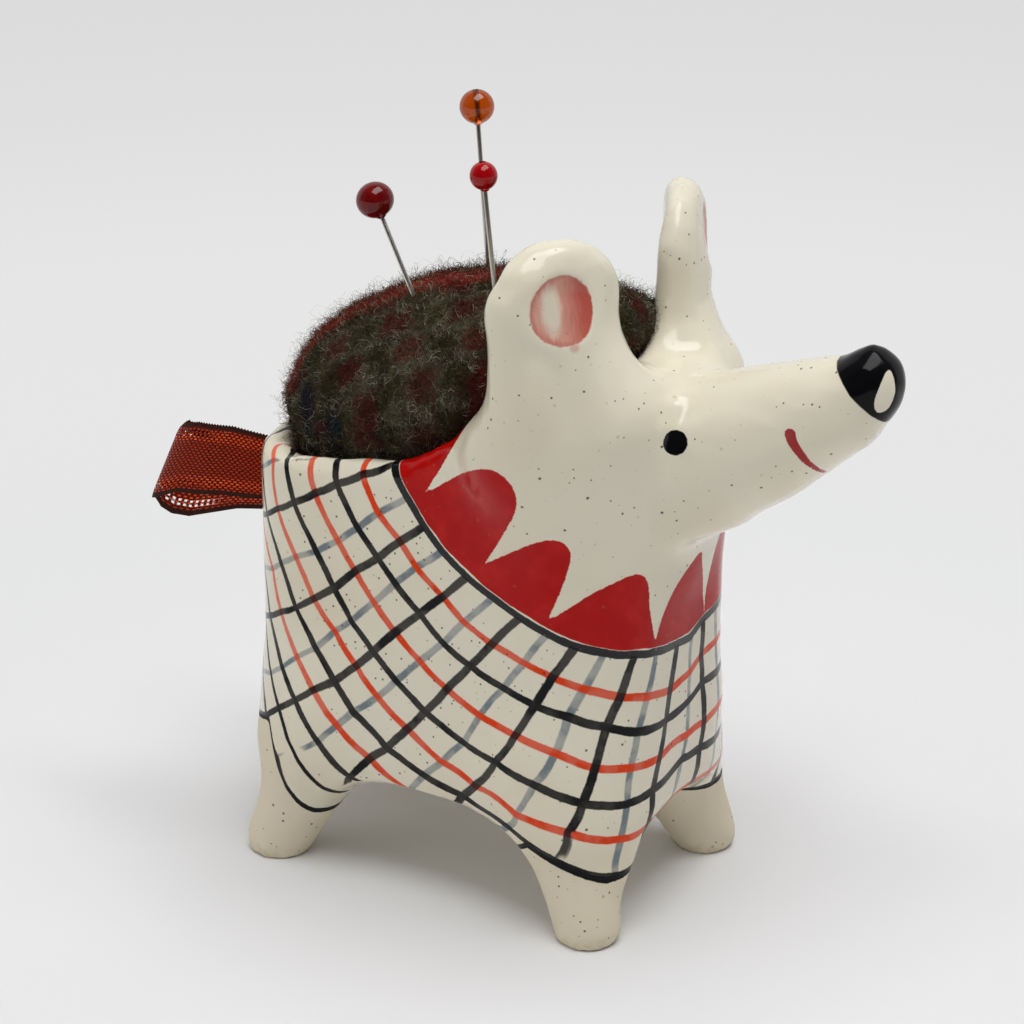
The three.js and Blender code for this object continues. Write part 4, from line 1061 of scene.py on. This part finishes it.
# The weave across the ribbon and along it, in mm: a band of floats, brighter to the sides, with painted
# glints on the brightest floats, a row of open work on each side of it near the fold, and a corded edge.
WEAVE_HALF, WEFT_PITCH, FLOAT_PITCH, CORD_PITCH = 6.0, 0.5, 0.86, 0.28
BRIGHT_OFF, OPEN_OFF, OPEN_ROW_PITCH, OPEN_PITCH = 4.4, 4.2, 0.7, 0.8
OPEN_REACH = (10.0, 7.0)
WEAVE_DEPTH = 0.00009
WEAVE_DARK, WEAVE_LIGHT = shade(84, 11, 4), shade(242, 84, 30)
WEAVE_DULL, WEAVE_PAINTED_GLINT = shade(130, 22, 8), shade(255, 132, 84)
CORD_DARK, CORD_LIGHT = shade(40, 17, 13), shade(78, 38, 28)

half = np.array(RIBBON_LINE)
line, run = even_line(np.r_[half, half[-2::-1] * [1, -1]], PICOT_PITCH / 2)
strip = bmesh.new()
first = [strip.verts.new((0, row, 0)) for row in RIBBON_ROWS]
edges = [strip.edges.new(pair) for pair in zip(first, first[1:])]
for station in range(1, len(line)):
    edges, grown = extend(strip, edges)
    bmesh.ops.translate(strip, verts=grown, vec=(1, 0, 0))
bmesh.ops.recalc_face_normals(strip, faces=strip.faces)
lay = strip.loops.layers.uv.new("ribbon_mm")
for face in strip.faces:
    for loop in face.loops:
        loop[lay].uv = (run[round(loop.vert.co.x)], loop.vert.co.y)
for vert in strip.verts:
    station, row = round(vert.co.x), vert.co.y
    x, y = line[station]
    out = min(max(-x / RIBBON_REACH, 0), 1)
    stop = out if y < 0 else 2 - out
    top, width = (np.interp(stop, *np.array(RIBBON_LAY)[:, (0, k)].T) for k in (1, 2))
    drop = row / RIBBON_WIDTH * width
    if row in (RIBBON_ROWS[0], RIBBON_ROWS[-1]):
        drop += (PICOT_DEPTH if station % 2 else -PICOT_DEPTH) * (1 if row else -1)
    pleat = RIBBON_PLEAT * math.sin(row * 1.55 + 0.6) * (1 - out) ** 2 * (x < RIBBON_PLEAT_END)
    billow = RIBBON_BILLOW * out * (1 - out) * math.sin(row * 0.45 + 1.0)
    corner = max(0, 1 - min(row, RIBBON_WIDTH - row) / FOLD_CORNER_REACH) ** 2 * out**8
    corner *= FOLD_CORNER_TOP if row < RIBBON_WIDTH / 2 else FOLD_CORNER_FOOT
    place = x + corner + out * (RIBBON_WIDTH / 2 - drop) * RIBBON_SLANT
    vert.co = Vector((RIBBON_HINGE + place, y + pleat + billow, top - drop)) / 1000
ribbon = piece_from(strip, "tail_ribbon")
body_of_ribbon = ribbon.modifiers.new("cloth", "SOLIDIFY")
body_of_ribbon.thickness = RIBBON_THICKNESS / 1000
body_of_ribbon.offset = 0
settle(ribbon)

organza = Finish("metallic_organza", Specular_IOR_Level=0.1)
lie = organza.node("ShaderNodeUVMap", {"uv_map": "ribbon_mm"}, {})
length, row, _ = organza.parts(lie)
aside = abs(row - RIBBON_WIDTH / 2)
weft_row = row / WEFT_PITCH
float_run = length / FLOAT_PITCH + weft_row.floor() * 0.5
floats = float_run.off_middle().rise(0.36, 0.2) * weft_row.off_middle().rise(0.44, 0.2)
blaze = organza.cloud(lie, 0.9, 2.0)
slow = organza.cloud(lie, 5.0, 1.0)
in_weave = aside.within(WEAVE_HALF, 0.1)
bright = abs(aside - BRIGHT_OFF).rise(1.5, 0.4)
weave = organza.mix(floats * (0.25 + blaze * 0.5 + bright * 0.6), WEAVE_DARK, WEAVE_LIGHT)
weave = organza.mix(slow.rise(0.35, 0.7) * 0.3, weave, WEAVE_DULL)
# Painted glints: the brightest floats are lit up to a pale orange as if catching the lamp.
weave = organza.mix(floats * bright * blaze.rise(0.58, 0.7), weave, WEAVE_PAINTED_GLINT)
cord = (length / CORD_PITCH).off_middle().rise(0.5, 0.1)
selvedge = organza.mix(cord * 0.6, CORD_DARK, CORD_LIGHT)
holes = (float_run + 0.5).off_middle().rise(0.3, 0.16) * weft_row.off_middle().rise(0.3, 0.18)
holes = holes * (1.0 - floats)
open_row = (aside - OPEN_OFF) / OPEN_ROW_PITCH
open_work = (length / OPEN_PITCH).off_middle().rise(0.3, 0.22) * open_row.off_middle().rise(0.36, 0.26)
open_work = open_work * abs(open_row - 1.0).rise(1.0, 0.95) * abs(length - run[-1] / 2).rise(*OPEN_REACH)
sheer = 1.0 - (holes * in_weave * blaze.rise(0.5, 0.7) * 0.6).most(open_work)
organza.wear(
    ribbon,
    Base_Color=organza.mix(in_weave, selvedge, weave),
    Metallic=in_weave * (0.25 + floats * 0.45),
    Roughness=0.62 - in_weave * (0.14 + floats * 0.2),
    Alpha=sheer,
    Normal=organza.bump(floats * in_weave + cord * (1.0 - in_weave) * 0.6, WEAVE_DEPTH),
)
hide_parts("ribbon_loop", "ribbon_root")
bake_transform(ribbon)


# Pins. Three dressmaker's pins of polished steel wire, pushed into the cushion. Each has a bead of glass
# that was wound hot round the end of the wire, which shows in the amber one.
WIRE_RADIUS = 0.00032
WIRE_POINT = 0.0035
WIRE_END_RECESS = 0.0003
WIRE_END_ROUND = 0.0001
WIRE_BITE = 0.00002
BEAD_SEAT = 0.0006
BEAD_NECK = 0.00016
BEAD_ARC, BEAD_FACETS, WIRE_FACETS = np.linspace(8, 171, 34), 48, 20
STEEL_DARK, STEEL_LIGHT = shade(216, 211, 201), shade(230, 226, 217)
# Each pin's name, the length of its wire, the size of its bead, its axis and how tall the bead is.
PINS = [
    ("dark_red", 0.034, 0.0050, (-0.435231, 0, 0.900319), 0.95),
    ("amber", 0.040, 0.0046, (-0.076719, 0, 0.997053), 0.99),
    ("red", 0.032, 0.0036, (-0.109734, 0, 0.993961), 1.03),
]


def turned(name, profile, facets, place, axis):
    """A round piece: a profile of radius and height, spun, then set at a place and turned to an axis."""
    lathe = bmesh.new()
    points = [lathe.verts.new((radius, 0, height)) for radius, height in profile]
    for pair in zip(points, points[1:]):
        lathe.edges.new(pair)
    bmesh.ops.spin(
        lathe, geom=lathe.verts[:] + lathe.edges[:], cent=(0, 0, 0), axis=(0, 0, 1),
        angle=math.tau, steps=facets, use_merge=True, use_duplicate=False,
    )
    bmesh.ops.remove_doubles(lathe, verts=lathe.verts, dist=1e-6)
    bmesh.ops.recalc_face_normals(lathe, faces=lathe.faces)
    turn = Vector((0, 0, 1)).rotation_difference(Vector(axis)).to_matrix().to_4x4()
    bmesh.ops.transform(lathe, matrix=Matrix.Translation(place) @ turn, verts=lathe.verts)
    return piece_from(lathe, name)


def glass(name, dark, light, **constants):
    """Bead glass with a faint swirl from the winding."""
    made = Finish(name, Specular_IOR_Level=0.35, IOR=1.5, **constants)
    mm = made.millimetres()
    swirl = made.cloud(mm, 1.4, 3.0)
    haze = 0.05 + made.cloud(mm, 0.6, 2.0) * 0.06
    return made, {"Base_Color": made.mix(swirl.rise(0.35, 0.7), dark, light), "Roughness": haze}


GLASSES = {
    "dark_red": glass("dark_red_bead", shade(100, 8, 9), shade(114, 13, 13)),
    "amber": glass("amber_bead", shade(182, 72, 3), shade(194, 84, 5), Transmission_Weight=0.9),
    "red": glass("red_bead", shade(160, 4, 12), shade(172, 9, 17)),
}
polished = Finish("polished_steel", Metallic=1.0)
mm = polished.millimetres()
drawn = polished.cloud(mm, 0.8, 3.0)
steel = {"Base_Color": polished.mix(drawn, STEEL_DARK, STEEL_LIGHT), "Roughness": 0.26 + drawn * 0.1}

for name, wire_length, bead_size, axis, squat in PINS:
    low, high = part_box(f"{name}_pin_head")
    middle = (low + high) / 2
    radius = bead_size / 2
    tall = radius * squat
    top_of_wire = radius - WIRE_END_RECESS
    end = top_of_wire - wire_length
    bore = WIRE_RADIUS - WIRE_BITE
    arc = [math.radians(a) for a in BEAD_ARC]
    profile = [(bore, top_of_wire - BEAD_SEAT), (bore, top_of_wire)]
    profile += [(bore * 1.6, tall * math.cos(arc[0]) - WIRE_BITE)]
    profile += [(radius * math.sin(a), tall * math.cos(a)) for a in arc[1:-2]]
    profile += [(WIRE_RADIUS * 1.9, -tall), (WIRE_RADIUS * 1.25, -tall - BEAD_NECK)]
    profile += [(bore, -tall - BEAD_NECK), (bore, top_of_wire - BEAD_SEAT)]
    bead = turned(f"{name}_bead", profile, BEAD_FACETS, middle, axis)
    finish, links = GLASSES[name]
    finish.wear(bead, **links)
    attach(bead, f"{name}_pin")
    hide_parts(f"{name}_pin_head")
    profile = [
        (0, top_of_wire), (WIRE_RADIUS * 0.8, top_of_wire), (WIRE_RADIUS, top_of_wire - WIRE_END_ROUND),
        (WIRE_RADIUS, end + WIRE_POINT), (WIRE_RADIUS * 0.62, end + WIRE_POINT / 2), (0, end),
    ]
    wire = turned(f"{name}_wire", profile, WIRE_FACETS, middle, axis)
    polished.wear(wire, **steel)
    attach(wire, f"{name}_pin")
    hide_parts(f"{name}_pin_shaft")


# Studio. A pale sheet swept up behind the object, one soft lamp above it in a dim room with a weak fill
# from the left, and the camera where the photographer's was.
SHEET_GREY, SHEET_PALE = shade(234, 234, 235), shade(236, 236, 237)
SHEET_HALF, SHEET_BACK, SHEET_CURVE, SHEET_TOP = 5.0, 0.75, 0.5, 2.2
SHEET_TURN = math.radians(31.5)
SHEET_DROP = 0.00002
# Where the sheet stops showing the object's shadow and where its painted light falls off, in mm, and the
# colours of its painted glow near and far.
SHEET_AWAY, SHEET_FALL = (75.0, 180.0), (190.0, 480.0)
SHEET_GLOW_NEAR, SHEET_GLOW_FAR = shade(230, 231, 230), shade(220, 220, 220)
LAMP_PLACE, LAMP_SIZE, LAMP_POWER = Vector((0.18, -0.02, 1.05)), (1.0, 0.6), 9.6
FILL_PLACE, FILL_SIZE, FILL_POWER = Vector((-0.85, -0.5, 0.4)), (1.0, 0.8), 1.9
LAMP_AIM = Vector((0, 0, 0.05))
ROOM_LIGHT, ROOM_TINT = 0.225, (0.98, 0.98, 1.0, 1.0)
PALE_WALL, DARK_WALL, WALL_EDGE = 0.15, 0.02, (0.75, 0.2)

sweep = bmesh.new()
front = [sweep.verts.new((side * SHEET_HALF, -SHEET_HALF, 0.0)) for side in (-1, 1)]
edges = [sweep.edges.new(front)]
profile = [
    (SHEET_BACK + SHEET_CURVE * math.sin(a), SHEET_CURVE - SHEET_CURVE * math.cos(a))
    for a in np.radians(range(0, 91, 10))
]
for back, up in [*profile, (SHEET_BACK + SHEET_CURVE, SHEET_TOP)]:
    edges, grown = extend(sweep, edges)
    for corner in grown:
        corner.co.y, corner.co.z = back, up
bmesh.ops.rotate(sweep, verts=sweep.verts, cent=(0, 0, 0), matrix=Matrix.Rotation(SHEET_TURN, 3, "Z"))
bmesh.ops.translate(sweep, verts=sweep.verts, vec=(0, 0, -SHEET_DROP))
backdrop = piece_from(sweep, "backdrop")
paper = Finish("pale_paper", Roughness=0.9, Specular_IOR_Level=0.1)
paper_mm = paper.millimetres()
fibrous = paper.mix(paper.cloud(paper_mm, 60.0, 5.0), SHEET_GREY, SHEET_PALE)
paper.wear(backdrop, Base_Color=fibrous)
backdrop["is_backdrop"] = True
# Away from the object the sheet shows to the camera as a painted glow, brighter near the object and dimmer
# far off like a pool of lamp light, whatever lamp reaches it.
reach = paper.measure("DISTANCE", paper_mm, (0, 0, 0))
shown = reach.rise(*SHEET_AWAY) * paper.rays("Camera", "Glossy", "Transmission")
painted_falloff = paper.mix(reach.rise(*SHEET_FALL), SHEET_GLOW_NEAR, SHEET_GLOW_FAR)
glow = paper.node("ShaderNodeEmission", {}, {"Color": painted_falloff, "Strength": 1.0})
sheet = paper.node("ShaderNodeMixShader", {}, {0: shown, 1: Wire(paper, paper.surface.outputs[0]), 2: glow})
paper.tree.links.new(sheet.socket, paper.tree.nodes["Material Output"].inputs["Surface"])


def softbox(name, place, size, power):
    """A lamp with a cloth front, aimed at the object."""
    lamp = bpy.data.lights.new(name, "AREA")
    lamp.shape = "RECTANGLE"
    lamp.size, lamp.size_y = size
    lamp.energy = power
    stand = bpy.data.objects.new(name, lamp)
    stand.location = place
    stand.rotation_euler = (LAMP_AIM - place).to_track_quat("-Z", "Y").to_euler()
    bpy.context.scene.collection.objects.link(stand)
    return stand


softbox("overhead", LAMP_PLACE, LAMP_SIZE, LAMP_POWER)
softbox("fill", FILL_PLACE, FILL_SIZE, FILL_POWER).visible_glossy = False
# The room is dim, with pale walls at the sides that only the shiny pieces mirror, and it is dark behind
# the photographer.
world = bpy.data.worlds.new("room")
world.use_nodes = True
room = Nodes(world.node_tree)
behind = (CAMERA_PLACE - CAMERA_TARGET).normalized()
toward = room.measure("DOT_PRODUCT", room.node("ShaderNodeTexCoord", {}, {}, "Generated"), behind)
walls = DARK_WALL + toward.rise(*WALL_EDGE) * (PALE_WALL - DARK_WALL)
level = ROOM_LIGHT + room.rays("Glossy", "Transmission") * (walls - ROOM_LIGHT)
air = room.tree.nodes["Background"]
room.tree.links.new(level.socket, air.inputs["Strength"])
air.inputs["Color"].default_value = ROOM_TINT
bpy.context.scene.world = world

lens = bpy.data.cameras.new("photographer")
lens.lens = CAMERA_LENS
lens.sensor_width = CAMERA_SENSOR
lens.clip_start, lens.clip_end = 0.01, 20.0
photographer = bpy.data.objects.new("photographer", lens)
photographer.location = CAMERA_PLACE
photographer.rotation_euler = camera_turn.to_euler()
bpy.context.scene.collection.objects.link(photographer)
bpy.context.scene.camera = photographer
bpy.context.scene.view_settings.view_transform = "Standard"

low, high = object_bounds()
